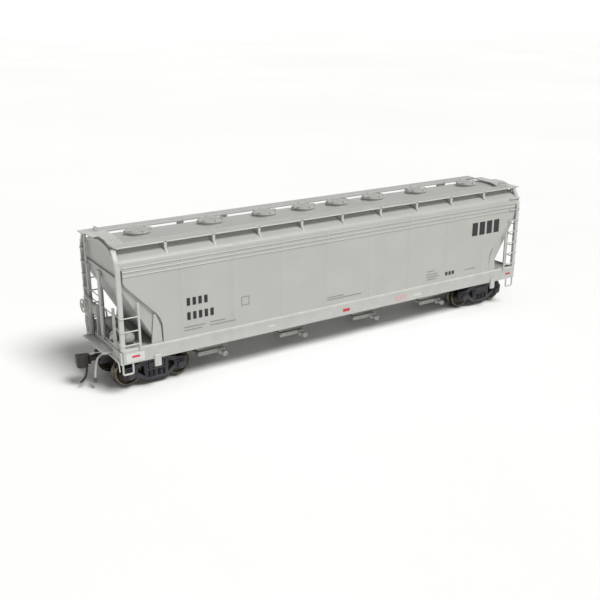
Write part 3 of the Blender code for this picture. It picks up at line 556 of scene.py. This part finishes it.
def hatch():
    """One round hatch at x = 0: skirt, clamp ring, dished lid with ribs, eye bolts, hinge, latch."""
    z = HATCH_Z + 0.15
    skirt = [(4.72, 0), (4.8, 0.08), (4.8, 0.42), (4.7, 0.5), (4.35, 0.52), (4.3, 0.6),
             (4.25, 0.8), (4.1, 0.88), (3.75, 0.92), (3.3, 0.9), (3.0, 0.94), (2.2, 1.02), (1.0, 1.07),
             (0, 1.08)]
    solids = [lathe(skirt, (0, 0, z), steps=56)]
    for k in range(6):
        a = k * pi / 3 + pi / 6
        c, s = cos(a), sin(a)
        bolt = [(4.05 * c, 4.05 * s, z + 1.0), (4.55 * c, 4.55 * s, z + 0.95), (4.6 * c, 4.6 * s, z + 0.3)]
        solids.append(rod(eased(bolt, 0.25, 4), 0.16, 8))
        solids.append(nut((4.25 * c, 4.25 * s, z + 0.95), "Z", 0.34, 0.36))
    for k in range(4):
        a = k * pi / 4
        c, s = 2.9 * cos(a), 2.9 * sin(a)
        path = np.linspace((-c, -s, z + 0.88), (c, s, z + 0.88), 9)
        path[:, 2] += 0.16 * (1 - np.linspace(-1, 1, 9) ** 2)
        solids.append(rod(path, 0.15, 6, (0, 0, 1)))
    solids += [rod([(-5.15, -1.1, z + 0.62), (-5.15, 1.1, z + 0.62)], 0.32, 12),
               block((-5.3, -3.6), (-0.85, -0.45), (z + 0.3, z + 1.15), 0.12),
               block((-5.3, -3.6), (0.45, 0.85), (z + 0.3, z + 1.15), 0.12),
               block((-5.7, -4.7), (-1.0, 1.0), (z + 0.03, z + 0.35)),
               block((4.2, 5.1), (-0.55, 0.55), (z + 0.05, z + 0.42)),
               rod(eased([(3.6, 0, z + 1.15), (4.9, 0, z + 1.1), (5.35, 0, z + 0.35)], 0.4), 0.2, 8),
               lathe([(0.5, 0), (0.5, 0.2), (0.3, 0.3)], (0, 0, z + 1.02), steps=16)]
    return solids


for number, x in enumerate(HATCH_X, 1):
    piece(f"hatch_{number}", "car", [(BODY_PAINT, moved(hatch(), (x, 0, 0)))],
          [f"roof_hatch_{number}"])


# ---------- walkways

def across_bar(x, line_y, line_z):
    """A bar over the car at one x, 0.5 wide and 0.4 thick, with its top on a (y, z) line."""
    path = np.stack([np.full(len(line_y), x), line_y, line_z - 0.2], 1)
    return strap(path, 0.5, 0.4, (1, 0, 0))


def running_board():
    """Near board: a grating of cross strips 1 mm apart on lengthwise bars, with its edge angles.

    The real etching is finer; it is drawn at twice its pitch so that it can be seen.
    """
    low, high = BOARD_Z
    inner, outer = -BOARD_Y[0], -BOARD_Y[1]
    solids = []
    for x in np.arange(-BOARD_END + 0.6, BOARD_END - 0.3, 1.0):
        solids.append(prism("XZ", [(x - 0.3, low + 0.06), (x + 0.3, low + 0.06), (x + 0.3, high),
                                   (x - 0.3, high)], (outer + 0.1, inner - 0.1), 0.02))
    for y in np.linspace(outer + 0.25, inner - 0.25, 5):
        edge = 0.25 if abs(y - outer) < 0.3 or abs(y - inner) < 0.3 else 0.2
        solids.append(block((-BOARD_END, BOARD_END), about(y, edge), (low, high - 0.02), 0.04))
    solids += [block((end * BOARD_END, end * (BOARD_END - 0.5)), (outer, inner), (low, high), 0.04)
               for end in (-1, 1)]
    return solids


def brackets():
    """Nine board supports: an upright tab at the edge, a foot on the shoulder and a raised web.

    A strip along the board's inner edge ties their heels together.
    """
    inner, outer = -BOARD_Y[0], -BOARD_Y[1]
    under = BOARD_Z[0]
    solids = []
    for x in BRACKET_X:
        solids.append(block(about(x, 0.55), (outer, outer + 0.4), (52.2, BOARD_Z[1] + 0.02), 0.06))
        heel = inner - 0.3
        web = [(outer + 0.2, 52.3), (-13.0, roof_z(13) - 0.1), (heel, roof_z(heel) - 0.1),
               (heel, under + 0.05), (outer + 0.2, under + 0.05)]
        solids.append(prism("YZ", web, about(x, 0.22), 0.04))
        foot = [(outer + 0.3, 52.6), (outer - 0.15, 52.75), (-17.75, 50.95), (-17.95, 50.1), (-17.3, 50.3)]
        solids.append(prism("YZ", foot, about(x, 0.3), 0.05))
        solids.append(rod([(x, -11.5, under + 0.3), (x, -11.5, BOARD_Z[1] + 0.12)], 0.3, 8))
    solids.append(block((-BOARD_END + 1, BOARD_END - 1), (inner - 0.5, inner - 0.1), (under - 0.35, under),
                        0.05))
    return solids


twins("running_board_{}", "grating", SIDES,
      [(ETCH_PAINT, running_board()), (FITTING_PAINT, brackets())])


def crosswalk():
    """Raised walk over the roof at the left end: arched bars with cross strips, and a grab loop.

    A second one outside it runs to the far board only.
    """
    edge, level = CROSS_EDGE, CROSS_LEVEL
    low, bend, high = BOARD_Z[1], CROSS_CREST - 0.04, CROSS_CREST
    arch = (np.array([-edge, -level - 0.2, -level + 0.2, level - 0.2, level + 0.2, edge]),
            np.array([low, bend, high, high, bend, low]))
    reach = (np.array([0.4, level - 0.2, level + 0.2, edge, BOARD_Y[1]]),
             np.array([high, high, bend, low, low]))
    bars, strips = [], []
    for line, bars_x, xs, ys in (
            (arch, np.linspace(-96.95, -92.25, 5), (-97.2, -92.0), np.arange(-edge + 0.35, edge, 0.95)),
            (reach, np.linspace(-99.55, -97.5, 3), (-99.8, -97.25), np.arange(0.75, 15.9, 0.95))):
        bars += [across_bar(x, *line) for x in bars_x]
        for y in ys:
            z = float(np.interp(y, *line))
            strips.append(block(xs, about(y, 0.28), (z - 0.36, z + 0.01), 0.03))
    legs = [block((-96.9, -96.5), about(y, 0.2), (54.6, 56.3), 0.05) for y in (-5.2, 0, 5.2)]
    loop = [(-94.0, 9.0, 55.5), (-94.0, 9.0, 56.9), (-94.0, 13.5, 56.9), (-94.0, 13.5, 55.5)]
    return bars + strips, legs + [rod(eased(loop, 0.6), 0.2, 8)]


strips, stands = crosswalk()
twins("crosswalk_{}", "grating", ENDS, [(ETCH_PAINT, strips), (FITTING_PAINT, stands)])


# ---------- ladders

def corner_post():
    """Angle-iron corner post at -X, -Y that follows the shoulder in to the running board."""
    line = eased([(0, -18.2, 17.65), (0, -18.2, 49.6), (0, -15.2, 54.2), (0, -15.2, 54.95)], 3.0, 8)
    outside = line + [POST_X, 0, 0]
    return [strap(outside, POST_WIDTH, 1.0, (1, 0, 0)), strap(line + [-97.2, 0.75, 0], 0.35, 0.9, (1, 0, 0))]


def rung(start, end, radius=0.25):
    """A round rung with a collar where each end meets its stile."""
    start, end = np.array(start, float), np.array(end, float)
    unit = (end - start) / np.linalg.norm(end - start)
    collars = [rod([place - unit * 0.22, place + unit * 0.22], radius * 1.3, 10) for place in (start, end)]
    return [rod([start, end], radius, 10)] + collars


def lower_ladder(end_rungs):
    """Side stile with three rungs, and the end rungs at the heights given."""
    solids = [block((-91.5, -90.6), (-19.0, -18.45), (17.0, 35.3), 0.12)]
    for z in RUNGS_Z[:3]:
        solids += rung((-98.0, -RUNG_Y, z), (-91.05, -RUNG_Y, z))
    for z in end_rungs:
        solids += rung((-98.5, -18.2, z), (-98.5, -12.5, z))
    for z in (18.6, 34.8):
        solids.append(nut((-91.05, -19.02, z), "Y", 0.3, 0.12))
    return solids


short_ladder = corner_post() + lower_ladder(RUNGS_Z[:3] + 0.9)
short_ladder.append(block((-98.7, -97.75), (-12.95, -12.05), (17.65, 32.6), 0.12))
tall_ladder = corner_post() + lower_ladder(RUNGS_Z[:6] + 2.6)
tall_ladder += [block((-98.7, -97.3), (-12.8, -11.8), (17.65, 43.8), 0.12),
                block((-98.7, -98.25), (-12.8, -11.8), (43.3, 54.95), 0.1)]
for z, off in zip(RUNGS_Z[3:], (RUNG_Y, RUNG_Y, RUNG_Y, 18.6)):
    tall_ladder += rung((-98.0, -off, z), (-92.4, -off, z))
    tall_ladder.append(rod([(-92.5, -off, z), (-92.5, -18.2, z)], 0.2, 8))
twins("short_ladder_{}", "fittings", ENDS, [(FITTING_PAINT, short_ladder)])
twins("tall_ladder_{}", "fittings", ENDS, [(FITTING_PAINT, reflected(tall_ladder))])


# ---------- sills and underframe

def side_sill():
    """Near sill: a channel with a rolled top edge, jacking pads and upright ribs inside the channel."""
    low, high = SILL_Z
    section = [(-16.3, high), (-18.0, high), (-18.05, 18.1), (-18.25, 18.15), (-18.62, 17.45),
               (-18.62, 17.2), (-SILL_Y, 17.0), (-SILL_Y, low + 0.45), (-18.38, low + 0.1), (-18.2, low),
               (-16.3, low), (-16.3, low + 0.6), (-17.7, low + 0.7), (-17.7, high - 0.7), (-16.3, high - 0.6)]
    solids = [prism("YZ", section, (-SILL_END, SILL_END), 0.1)]
    for end in (-1, 1):
        x = end * 84.55
        solids.append(block(about(x, 1.35), (-19.0, -18.3), (9.2, 13.9), 0.18))
        solids.append(lathe([(0.5, -0.02), (0.42, 0.12)],
                            (x, -19.1, 10.6), "Y", 16))
        for dx in (-0.85, 0.85):
            solids.append(nut((x + dx, -19.12, 13.2), "Y", 0.28, 0.14))
    for x in BAY_X:
        solids += [block(about(x + dx, 0.25), (-18.3, -16.0), (low + 0.3, high - 0.3))
                   for dx in (-15.5, 15.5)]
    return solids


twins("side_sill_{}", "channel", SIDES, [(FITTING_PAINT, side_sill())])


def stirrup(side):
    """Corner step: a flat bar bent down, along and up again, with its two bolts."""
    y = side * 18.05
    path = eased([(-97.95, y, 12.7), (-97.95, y, 8.25), (-94.05, y, 8.25), (-94.05, y, 12.7)], 0.7)
    bolts = [rod([(x, y, 12.6), (x, y + side * 0.42, 12.6)], 0.28, 8) for x in (-97.95, -94.05)]
    return [strap(path, 0.6, 0.65, (0, 1, 0))] + bolts


for side, words in ((-1, ("left_near", "right_far")), (1, ("left_far", "right_near"))):
    twins("stirrup_{}", "bar", words, [(FITTING_PAINT, stirrup(side))])

# The centre sill takes the darkened underside lacquer: painted shade.
softened("centre_sill", "beam", UNDERSIDE_SHADE_PAINT, "car", 0.12)
for end in ENDS:
    softened(f"end_sill_{end}", "casting", FITTING_PAINT, "car", 0.1)
    softened(f"draft_box_{end}", "case", TRUCK_ACETAL, "car", 0.12)


def end_fittings():
    """Left end: platform treads, uncoupling lever, two bars across the end and the deck's edges."""
    solids = [block(about(x, 0.16), (-10.5, 10.5), (15.44, 15.62), 0.04)
              for x in np.linspace(-102.3, -99.6, 5)]
    lever = eased([(-99.3, -18.2, 9.9), (-99.3, -17.6, 12.9), (-99.5, -16.9, 13.7), (-99.5, -6.5, 13.7),
                   (-100.6, -4.2, 13.3), (-104.2, -2.4, 12.9), (-104.5, -1.9, 12.2)], 0.8)
    solids.append(rod(lever, 0.24, 8))
    for y in (-15.6, -8.8):
        solids.append(block((-99.85, -98.7), about(y, 0.22), (13.25, 14.15), 0.08))
    for y in (-16.8, 16.8):
        solids += [nut((-98.95, y, z), "X", 0.32, 0.2) for z in (13.1, 16.5)]
    solids += rung((-98.3, 1.2, 33.2), (-98.3, 11.9, 33.2), 0.2)
    solids += rung((-98.4, -12.3, 30.2), (-98.4, 11.9, 30.2), 0.2)
    solids.append(block((-98.3, -97.7), (-18.1, -1.2), (17.3, 17.75), 0.08))
    solids.append(block((-98.3, -97.7), (1.2, 18.1), (17.3, 17.75), 0.08))
    return solids


twins("end_fittings_{}", "", ENDS, [(FITTING_PAINT, end_fittings())])


def air_hose():
    """Angle cock, moulded hose and glad hand beside the left coupler."""
    pipe = [rod([(-97.9, HOSE_Y, HOSE_Z), (-99.6, HOSE_Y, HOSE_Z)], 0.45, 12),
            lathe([(0.62, -0.5), (0.72, 0), (0.62, 0.5)], (-99.7, HOSE_Y, HOSE_Z), "X", 16),
            block((-100.1, -99.4), (-5.35, -5.05), (13.2, 14.1), 0.06)]
    hose = rod(eased([(-99.7, HOSE_Y, HOSE_Z), (-101.6, HOSE_Y, 12.8), (-103.3, HOSE_Y, 11.2),
                      (-104.2, HOSE_Y, 6.6), (-104.35, HOSE_Y, 3.5)], 2.4, 9), 0.42, 12)
    hand = [lathe([(0.62, -0.45), (0.68, 0.35), (0.5, 0.5)],
                  (-104.35, HOSE_Y, 3.6), "Z", 16),
            block((-105.0, -103.8), (-5.85, -4.65), (2.15, 3.2), 0.25),
            rod([(-104.4, -5.95, 2.6), (-104.4, -4.55, 2.6)], 0.42, 12)]
    return pipe + [hose], hand


hose, hand = air_hose()
twins("air_hose_{}", "line", ENDS, [(FITTING_PAINT, hose), (HOSE_RUBBER, hand)])


# ---------- brake gear

def brake_wheel():
    """Hand wheel on the left end: rim as a circle carried round a circle, hub and dished spokes."""
    centre = np.array([-101.75, BRAKE_Y, BRAKE_Z])
    around = np.linspace(0, 2 * pi, 37)[:-1]
    tube = np.linspace(0, 2 * pi, 11)[:-1]
    radius = 2.5 + 0.28 * np.cos(tube)[None, :]
    rings = np.stack([np.broadcast_to(0.28 * np.sin(tube), (36, 10)),
                      radius * np.cos(around)[:, None], radius * np.sin(around)[:, None]], -1)
    solids = [loft(rings + centre, close=True),
              lathe([(0.55, -0.5), (0.8, -0.2), (0.8, 0.45), (0.4, 0.6)],
                    centre, "X", 18)]
    for k in range(5):
        a = 2 * pi * k / 5 + 0.3
        path = centre + np.array([[0.25, 0.5 * cos(a), 0.5 * sin(a)], [0.15, 1.4 * cos(a), 1.4 * sin(a)],
                                  [0, 2.45 * cos(a), 2.45 * sin(a)]])
        solids.append(rod(path, 0.18, 8))
    solids.append(rod([(-101.6, BRAKE_Y, BRAKE_Z), (-100.4, BRAKE_Y, BRAKE_Z)], 0.4, 12))
    return solids


def brake_housing():
    """Geared housing on the end: stepped case, stanchion, cover with screws, chain and bell crank."""
    solids = [block((-98.9, -97.5), (4.0, 4.7), (15.7, 29.0), 0.1),
              block((-99.2, -97.6), (4.5, 8.2), (24.6, 28.6), 0.15),
              block((-100.3, -98.9), (7.9, 13.6), (22.6, 30.6), 0.35),
              block((-100.1, -98.9), (8.4, 13.1), (15.65, 22.9), 0.25),
              lathe([(2.3, -0.5), (2.4, -0.1), (1.9, 0.25), (0, 0.3)],
                    (-100.35, BRAKE_Y, BRAKE_Z), "X", 28),
              block((-100.6, -100.0), (9.3, 12.3), (23.1, 24.3), 0.2),
              rod(eased([(-100.35, 8.6, 26.5), (-100.5, 8.4, 24), (-100.45, 8.8, 16.2)], 0.6), 0.2, 8),
              rod(eased([(-100.3, 12.8, 22.9), (-100.5, 12.8, 20.5), (-100.3, 12.2, 16.0)], 0.6), 0.24, 8)]
    for y in (8.6, 12.9):
        solids += [nut((-100.45, y, z), "X", 0.3, 0.22) for z in (23.4, 29.9)]
    solids += [rod([(-100.55, BRAKE_Y, z), (-100.55, BRAKE_Y, z + 0.75)], 0.3, 8)
               for z in np.arange(16, 22.4, 1.05)]
    return solids


def air_gear():
    """Reservoir with domed ends and straps, brake cylinder with its lever, control valve, piping."""
    tank = [(0, 5.4), (0.9, 5.3), (1.55, 5.0), (1.9, 4.55), (2.0, 4.1), (2.0, 0.1), (2.06, 0), (2.0, -0.1),
            (2.0, -4.1), (1.9, -4.55), (1.55, -5.0), (0.9, -5.3), (0, -5.4)]
    reservoir = [lathe(tank, (TANK_X, -8.2, 20.1), "Y", 32)]
    for y in (-10.7, -5.7):
        reservoir += [block((-93.5, -91.7), about(y, 0.4), (17.4, 19.0)),
                      lathe([(2.12, -0.25), (2.12, 0.25)], (TANK_X, y, 20.1), "Y", 32)]
    case = [(0.45, 4.6), (0.5, 3.0), (0.9, 2.7), (1.85, 2.5), (1.95, 2.3), (1.95, 1.9),
            (1.75, 1.8), (1.75, -2.6), (1.3, -2.9), (0, -3.0)]
    cylinder = [lathe(case, (TANK_X, 5.6, 20.0), "Y", 32), block((-93.5, -91.7), (4.4, 6.4), (17.4, 18.7)),
                prism("YZ", [(9.6, 19.5), (11.2, 19.5), (11.6, 24.2), (10.9, 24.2)], (-92.8, -92.4))]
    cylinder += [nut((TANK_X + 1.55 * cos(a), 8.1, 20.0 + 1.55 * sin(a)), "Y", 0.22, 0.2)
                 for a in np.arange(6) * pi / 3]
    valve = [block((-97.0, -95.3), (-6.9, -3.4), (17.4, 20.1), 0.25),
             lathe([(0.75, -0.6), (0.85, 0), (0.6, 0.5)], (-97.1, -5.9, 18.9), "X", 18),
             lathe([(0.6, 0), (0.6, 0.7), (0.3, 0.9)], (-96.1, -4.3, 20.0), "Z", 18),
             block((-96.7, -95.6), (-3.6, -2.5), (18.0, 19.4), 0.15)]
    runs = (([(-95.3, -5.6, 18.4), (-94.8, -4.0, 18.2), (-93.2, -2.9, 18.6), (TANK_X, -2.8, 20.1)], 0.9),
            ([(-96.1, -2.6, 18.7), (-96.1, 1.6, 18.5), (-94.6, 2.6, 18.6), (-92.9, 2.7, 19.4)], 0.9),
            ([(-97.5, -5.9, 18.9), (-97.9, -5.4, 17.9), (-97.95, -5.2, 17.0)], 0.5),
            ([(TANK_X, 11.2, 23.8), (-95.2, 11.0, 23.4), (-98.9, 10.9, 20.4)], 1.2),
            ([(-91.2, -13.4, 17.9), (-91.2, 12.0, 17.9), (-88.2, 14.2, 17.9)], 1.5))
    return reservoir, cylinder, valve + [rod(eased(path, radius), 0.26, 8) for path, radius in runs]


reservoir, cylinder, valve = air_gear()
for node, ending, solids in (("brake_wheel", "casting", brake_wheel()),
                             ("brake_housing", "case", brake_housing()),
                             ("air_reservoir", "tank", reservoir),
                             ("brake_cylinder", "casting", cylinder),
                             ("control_valve", "casting", valve)):
    piece(f"{node}_{ending}", "car", [(FITTING_PAINT, solids)], [node])


# ---------- hopper bottoms

def bay_trim(x):
    """Angle frames, edge seams and a middle strip on each side of one bay, tapering evenly to its outlet."""
    def corner(height, out=0.0):
        t = (height - 5.4) / 11.9
        return 4.6 + (18.75 - 4.6) * t + out, 5.6 + (15.9 - 5.6) * t + out

    solids = []
    for height, size in ((5.75, 0.35), (12.2, 0.22), (16.7, 0.3)):
        rx, ry = corner(height, 0.05)
        loop = [(x - rx, -ry), (x + rx, -ry), (x + rx, ry), (x - rx, ry)]
        for (ax, ay), (bx, by) in zip(loop, loop[1:] + loop[:1]):
            solids.append(rod([(ax, ay, height), (bx, by, height)], size, 6))
    for sx in (-1, 1):
        for sy in (-1, 1):
            (tx, ty), (bx, by) = corner(16.9), corner(5.6)
            solids.append(rod([(x + sx * tx, sy * ty, 16.9), (x + sx * bx, sy * by, 5.6)], 0.24, 6))
    for sy in (-1, 1):
        (tx, ty), (bx, by) = corner(15.5, 0.05), corner(6.5, 0.05)
        solids.append(strap([(x, sy * ty, 15.5), (x, sy * by, 6.5)], 0.8, 0.35, (1, 0, 0)))
    return solids


def gate_trim(x):
    """Rack teeth, capstan sockets with square holes' rims, guide flanges and end bolts of a gate."""
    solids = [block(about(x, 6.0), (sy * 6.5, sy * 7.1), (3.75, 5.45), 0.12) for sy in (-1, 1)]
    shaft_x = x + 4.3
    for sy in (-1, 1):
        socket = [(0.95, -0.9), (1.1, -0.6), (1.1, 0.5), (1.0, 0.75), (0.62, 0.8), (0.55, 0.45)]
        profile = [(r, sy * a) for r, a in socket]
        solids.append(lathe(profile, (shaft_x, sy * 10.2, 4.2), "Y", 20))
        solids.append(block(about(shaft_x, 1.3), (sy * 7.1, sy * 7.9), (3.0, 5.4), 0.25))
        solids.append(block(about(shaft_x, 0.5), (sy * 7.8, sy * 9.4), (4.9, 5.9), 0.15))
        rack = [block((x - 4.6 + k * 0.9, x - 4.15 + k * 0.9), (sy * 4.6, sy * 5.2), (5.05, 5.45), 0.06)
                for k in range(9)]
        solids += rack + [nut((x + dx, sy * 7.05, 4.6), "Y", 0.35, sy * 0.3) for dx in (-5.0, -2.5, 0, 2.2)]
    return solids


# Bays, gates and bay frames take the darkened underside lacquer: painted shade.
for number, x in enumerate(BAY_X, 1):
    softened(f"hopper_bay_{number}", "sheets", UNDERSIDE_SHADE_PAINT, "car", 0.1)
    softened(f"outlet_gate_{number}", "frame", UNDERSIDE_SHADE_PAINT, "car", 0.12)
    piece(f"hopper_bay_{number}_trim", "car",
          [(UNDERSIDE_SHADE_PAINT, bay_trim(x)), (FITTING_PAINT, gate_trim(x))])


# ---------- trucks

WHEEL_FACE = [(0, 12.6), (0.3, 12.15), (0.95, 11.3), (0.95, 10.45), (1.55, 10.4), (1.75, 10.2), (1.85, 9.75),
              (2.3, 9.58), (3.2, 9.5), (4.1, 9.56), (4.45, 9.75), (4.62, 9.95)]
WHEEL_RIM = [(5.15, 9.97), (5.24, 9.9), (5.26, 9.0), (5.34, 8.1), (5.42, 7.95), (5.6, 7.85), (5.78, 7.7),
             (5.88, 7.5), (FLANGE_R, 7.38), (5.86, 7.26), (5.75, 7.2)]
WHEEL_BACK = [(4.6, 7.2), (4.4, 7.35), (3.2, 7.55), (1.9, 7.5), (1.6, 7.2), (1.05, 7.1), (0.95, 6.6)]


def wheelset(x):
    """Wheelset with coned axle ends: dished plates as one turning, and the two bright rims."""
    steps = 72
    half = WHEEL_FACE + [(5.1, 9.93), (5.1, 7.24)] + WHEEL_BACK
    turning = lathe(half + [(r, -a) for r, a in half[::-1]], (x, 0, WHEEL_R), "Y", steps)
    angle = (np.arange(steps) * 2 * pi / steps)[:, None]
    r, a = np.array([(4.62, 9.95)] + WHEEL_RIM + [(4.6, 7.19), (5.0, 8.4)]).T
    rings = np.stack([x + r * np.sin(angle), a + 0 * angle, WHEEL_R + r * np.cos(angle)], -1)
    far_rim = [loft(rings, close=True)]
    return [turning], reflected(far_rim) + far_rim


for label, x in zip(ENDS, (-TRUCK_X, TRUCK_X)):
    for word, off in (("a", -AXLE_OFF), ("b", AXLE_OFF)):
        turning, rims = wheelset(x + off)
        piece(f"wheelset_{label}_{word}_turning", f"wheels_{label}_{word}",
              [(WHEEL_BLACK, turning), (WHEEL_TREAD, rims)], [f"wheelset_{label}_{word}"])


def truck_side(x, side):
    """Springs, bearing caps with bolts, wear plates and column guides of one sideframe."""
    solids = []
    for dx in (-2.1, 0.0, 2.1):
        solids.append(coil((x + dx, side * 12.15), 0.82, 2.75, 6.0, 4, 0.2))
    for off in (-AXLE_OFF, AXLE_OFF):
        cap = [(0, 0.62), (0.5, 0.6), (0.95, 0.5), (1.1, 0.35), (1.5, 0.25), (1.6, 0.1), (1.6, -0.6)]
        solids.append(lathe([(r, side * a) for r, a in cap], (x + off, side * 13.6, WHEEL_R), "Y", 28))
        for k in range(3):
            a = k * 2 * pi / 3 + pi / 2
            place = (x + off + 1.0 * cos(a), side * 13.95, WHEEL_R + 1.0 * sin(a))
            solids.append(nut(place, "Y", 0.26, side * 0.3))
        solids.append(block(about(x + off, 1.9), (side * 12.6, side * 13.3), (6.9, 7.5), 0.12))
    for dx in (-3.75, 3.75):
        solids.append(block(about(x + dx, 0.35), (side * 12.7, side * 13.2), (3.2, 8.6), 0.1))
    solids.append(block(about(x, 3.4), (side * 11.4, side * 13.2), (2.3, 2.8), 0.12))
    return solids + [rod([(x + end * 6.2, side * 12.75, 7.9), (x + end * 4.4, side * 12.75, 8.7)], 0.3, 8)
                     for end in (-1, 1)]


def brake_rigging(x):
    """Two brake beams with their shoes, and the lever between them, clear of the wheels."""
    solids = []
    for end in (-1, 1):
        bx = x + end * 3.65
        solids.append(rod([(bx, -9.6, 5.0), (bx, 9.6, 5.0)], 0.32, 8))
        for side in (-1, 1):
            height = np.linspace(-2.2, 2.2, 9)
            face = x + end * (AXLE_OFF - np.sqrt(6.15 ** 2 - height ** 2))
            outline = list(zip(face, WHEEL_R + height)) + [(face[-1] - end * 0.5, WHEEL_R + 2.2),
                                                           (face[0] - end * 0.5, WHEEL_R - 2.2)]
            solids.append(prism("XZ", outline, (side * 7.6, side * 9.7), 0.1))
    solids.append(rod([(x - 3.6, 1.6, 4.4), (x + 3.6, 2.6, 4.4)], 0.28, 8))
    return solids


for label, x in zip(ENDS, (-TRUCK_X, TRUCK_X)):
    body = "truck_" + label
    softened(f"truck_bolster_{label}", "casting", TRUCK_ACETAL, body, 0.15)
    for word, side in (("near", -1), ("far", 1)):
        softened(f"sideframe_{label}_{word}", "casting", TRUCK_ACETAL, body, 0.16)
        piece(f"sideframe_{label}_{word}_fittings", body,
              [(TRUCK_ACETAL, truck_side(x, side))])
    piece(f"truck_{label}_brake_rigging", body, [(TRUCK_ACETAL, brake_rigging(x))])
    softened(f"kingpin_screw_{label}", "", PLATED_STEEL, "car", 0.08, f"kingpin_{label}_screw")

softened("steel_weight", "", PLATED_STEEL, "car", 0.3, "ballast_plate")


# ---------- couplers

def coupler_detail():
    """Left coupler's rivet, shank rib and shelf on the head."""
    shank = [block((-104.2, -101.6), (-0.5, 0.5), (10.7, 11.1), 0.12),
             lathe([(1.5, -0.2), (1.5, 0.15), (1.1, 0.3)], (-94, 0, 10.9), "Z", 20)]
    jaw = [lathe([(0.75, -0.3), (0.75, 0.1), (0.5, 0.3), (0, 0.35)],
                 (-106.3, -1.9, 12.4), "Z", 20),
           rod(eased([(-106.3, -1.9, 8.2), (-106.3, -1.9, 6.0), (-106.9, -1.9, 3.9), (-108.1, -1.85, 2.5),
                      (-109.1, -1.75, 1.85)], 1.2), 0.43, 12)]
    return shank, jaw


shank, jaw = coupler_detail()
for label, turn in zip(ENDS, (list, turned)):
    for kind, ending, solids in (("coupler", "rivet", shank), ("knuckle", "pin", jaw)):
        body = f"{kind}_body_{label}"
        softened(f"{kind}_{label}", "casting", COUPLER_ZINC, body, 0.22)
        piece(f"{kind}_{label}_{ending}", body, [(COUPLER_ZINC, turn(solids))])


# ---------- printed marks

def mark(x0, x1, z0, z1, face=SIDE_Y, proud=0.09):
    """A thin printed bar on the near side, just prouder than the weld seams that it crosses."""
    outline = [(x0, z0), (x1, z0), (x1, z1), (x0, z1)]
    return prism("XZ", outline, (-face - proud, -face + 0.05), 0.01)


def mark_row(count, pitch, x0, x1, z0, z1):
    """Equal marks side by side."""
    return [mark(x0 + k * pitch, x1 + k * pitch, z0, z1) for k in range(count)]


def marks():
    """Plain bars and blocks, with no lettering, where a car carries its marks and data."""
    black = (mark_row(4, 4.4, 70.0, 73.2, 36.4, 42.4) + mark_row(4, 2.4, -71.8, -70.4, 30.2, 33.2)
             + mark_row(5, 2.4, -71.8, -70.4, 24.6, 27.6) + mark_row(3, 1.9, 55.2, 56.5, 20.4, 22.0))
    outline = [mark(*place) for place in
               ((-48.8, -48.5, 25.9, 29.5), (-45.6, -45.3, 25.9, 29.5), (-48.5, -45.6, 25.9, 26.2),
                (-48.5, -45.6, 29.2, 29.5))]
    fine = [mark(x0, x1, z, z + 0.4) for x0, x1, z in
            ((-73.3, -64.4, 21.6), (-73.3, -65.8, 20.4), (-62.4, -56.0, 21.8), (-62.4, -51.4, 20.5),
             (-8.8, -0.6, 21.4), (-8.8, 8.6, 20.4), (44.6, 48.6, 23.6), (44.2, 50.6, 22.2),
             (44.2, 51.4, 21.0), (44.2, 50.0, 19.9), (66.8, 73.2, 21.0))]
    sill = [mark(*place, face=SILL_Y) for place in
            ((-0.8, 2.6, 14.0, 15.3), (93.0, 95.8, 14.4, 15.2), (-94.4, -91.4, 14.5, 15.3))]
    white = [mark(*place, face=SILL_Y, proud=0.03) for place in
             ((-96.6, -89.6, 12.9, 16.4), (-37.0, -34.0, 14.5, 15.3), (37.6, 41.4, 13.9, 14.9))]
    faint = [mark(x0, x1, z, z + 0.45, face=SILL_Y) for x0, x1, z in
             ((26.8, 32.0, 15.4), (26.8, 34.6, 14.5), (26.8, 31.0, 13.6))]
    return black, outline + fine, sill, white, faint


INKS = (BLACK_INK, GREY_INK, RED_INK, WHITE_INK, FAINT_INK)
twins("printed_marks_{}", "", SIDES, list(zip(INKS, marks())))


# ---------- stage, light and camera

def studio_floor():
    """Round pale floor, flat for 6 m and then a quarter ellipse up to a rim 2.6 m high."""
    steps = 48
    bend = np.linspace(0, pi / 2, 13)
    radius = np.concatenate([[0.5, 2, 4], 6 + 3 * np.sin(bend)])
    height = np.concatenate([[0, 0, 0], 2.6 * (1 - np.cos(bend))])
    around = np.arange(steps) * 2 * pi / steps
    grid = np.stack([radius[:, None] * np.cos(around), radius[:, None] * np.sin(around),
                     height[:, None] + 0 * around], -1)
    faces = quads(len(radius), steps, False, True)[:, ::-1].tolist() + [list(range(steps))]
    mesh = bpy.data.meshes.new("studio_floor")
    mesh.from_pydata(grid.reshape(-1, 3), [], faces)
    mesh.shade_smooth()
    mesh.materials.append(FLOOR_PAPER)
    floor = placed("studio_floor", mesh)


# Heavy white paper: matte, with a barely visible tone drift.
FLOOR_PAPER = surface("white_paper", "f6f6f5", "f2f2f1", 400, 1.5, 0.002, 0.9, 0.02)
studio_floor()


# One broad soft light high over the near side, turned a little towards the right-hand end.
key_light = bpy.data.lights.new("key", "SUN")
key_light.energy, key_light.angle = 3.25, radians(24)
key = placed("key", key_light)
key.rotation_euler = Vector((-0.34, 0.94, -1.43)).to_track_quat("-Z", "Y").to_euler()
world = bpy.data.worlds.new("studio")
world.use_nodes = True
background = world.node_tree.nodes["Background"].inputs
background["Color"].default_value, background["Strength"].default_value = (1, 1, 1, 1), 0.22
bpy.context.scene.world = world
bpy.context.scene.view_settings.view_transform = "Standard"

AZIMUTH, DOWN = radians(32.42), radians(19.28)
eye = bpy.data.cameras.new("camera")
eye.lens, eye.sensor_width = 51.81, 36
eye.clip_start, eye.clip_end = 0.01, 60
camera = placed("camera", eye)
camera.location = Vector((-198.1, -295.5, 138.1 + RAIL_Z)) * MM
look = Vector((sin(AZIMUTH) * cos(DOWN), cos(AZIMUTH) * cos(DOWN), -sin(DOWN)))
camera.rotation_euler = look.to_track_quat("-Z", "Y").to_euler()
bpy.context.scene.camera = camera
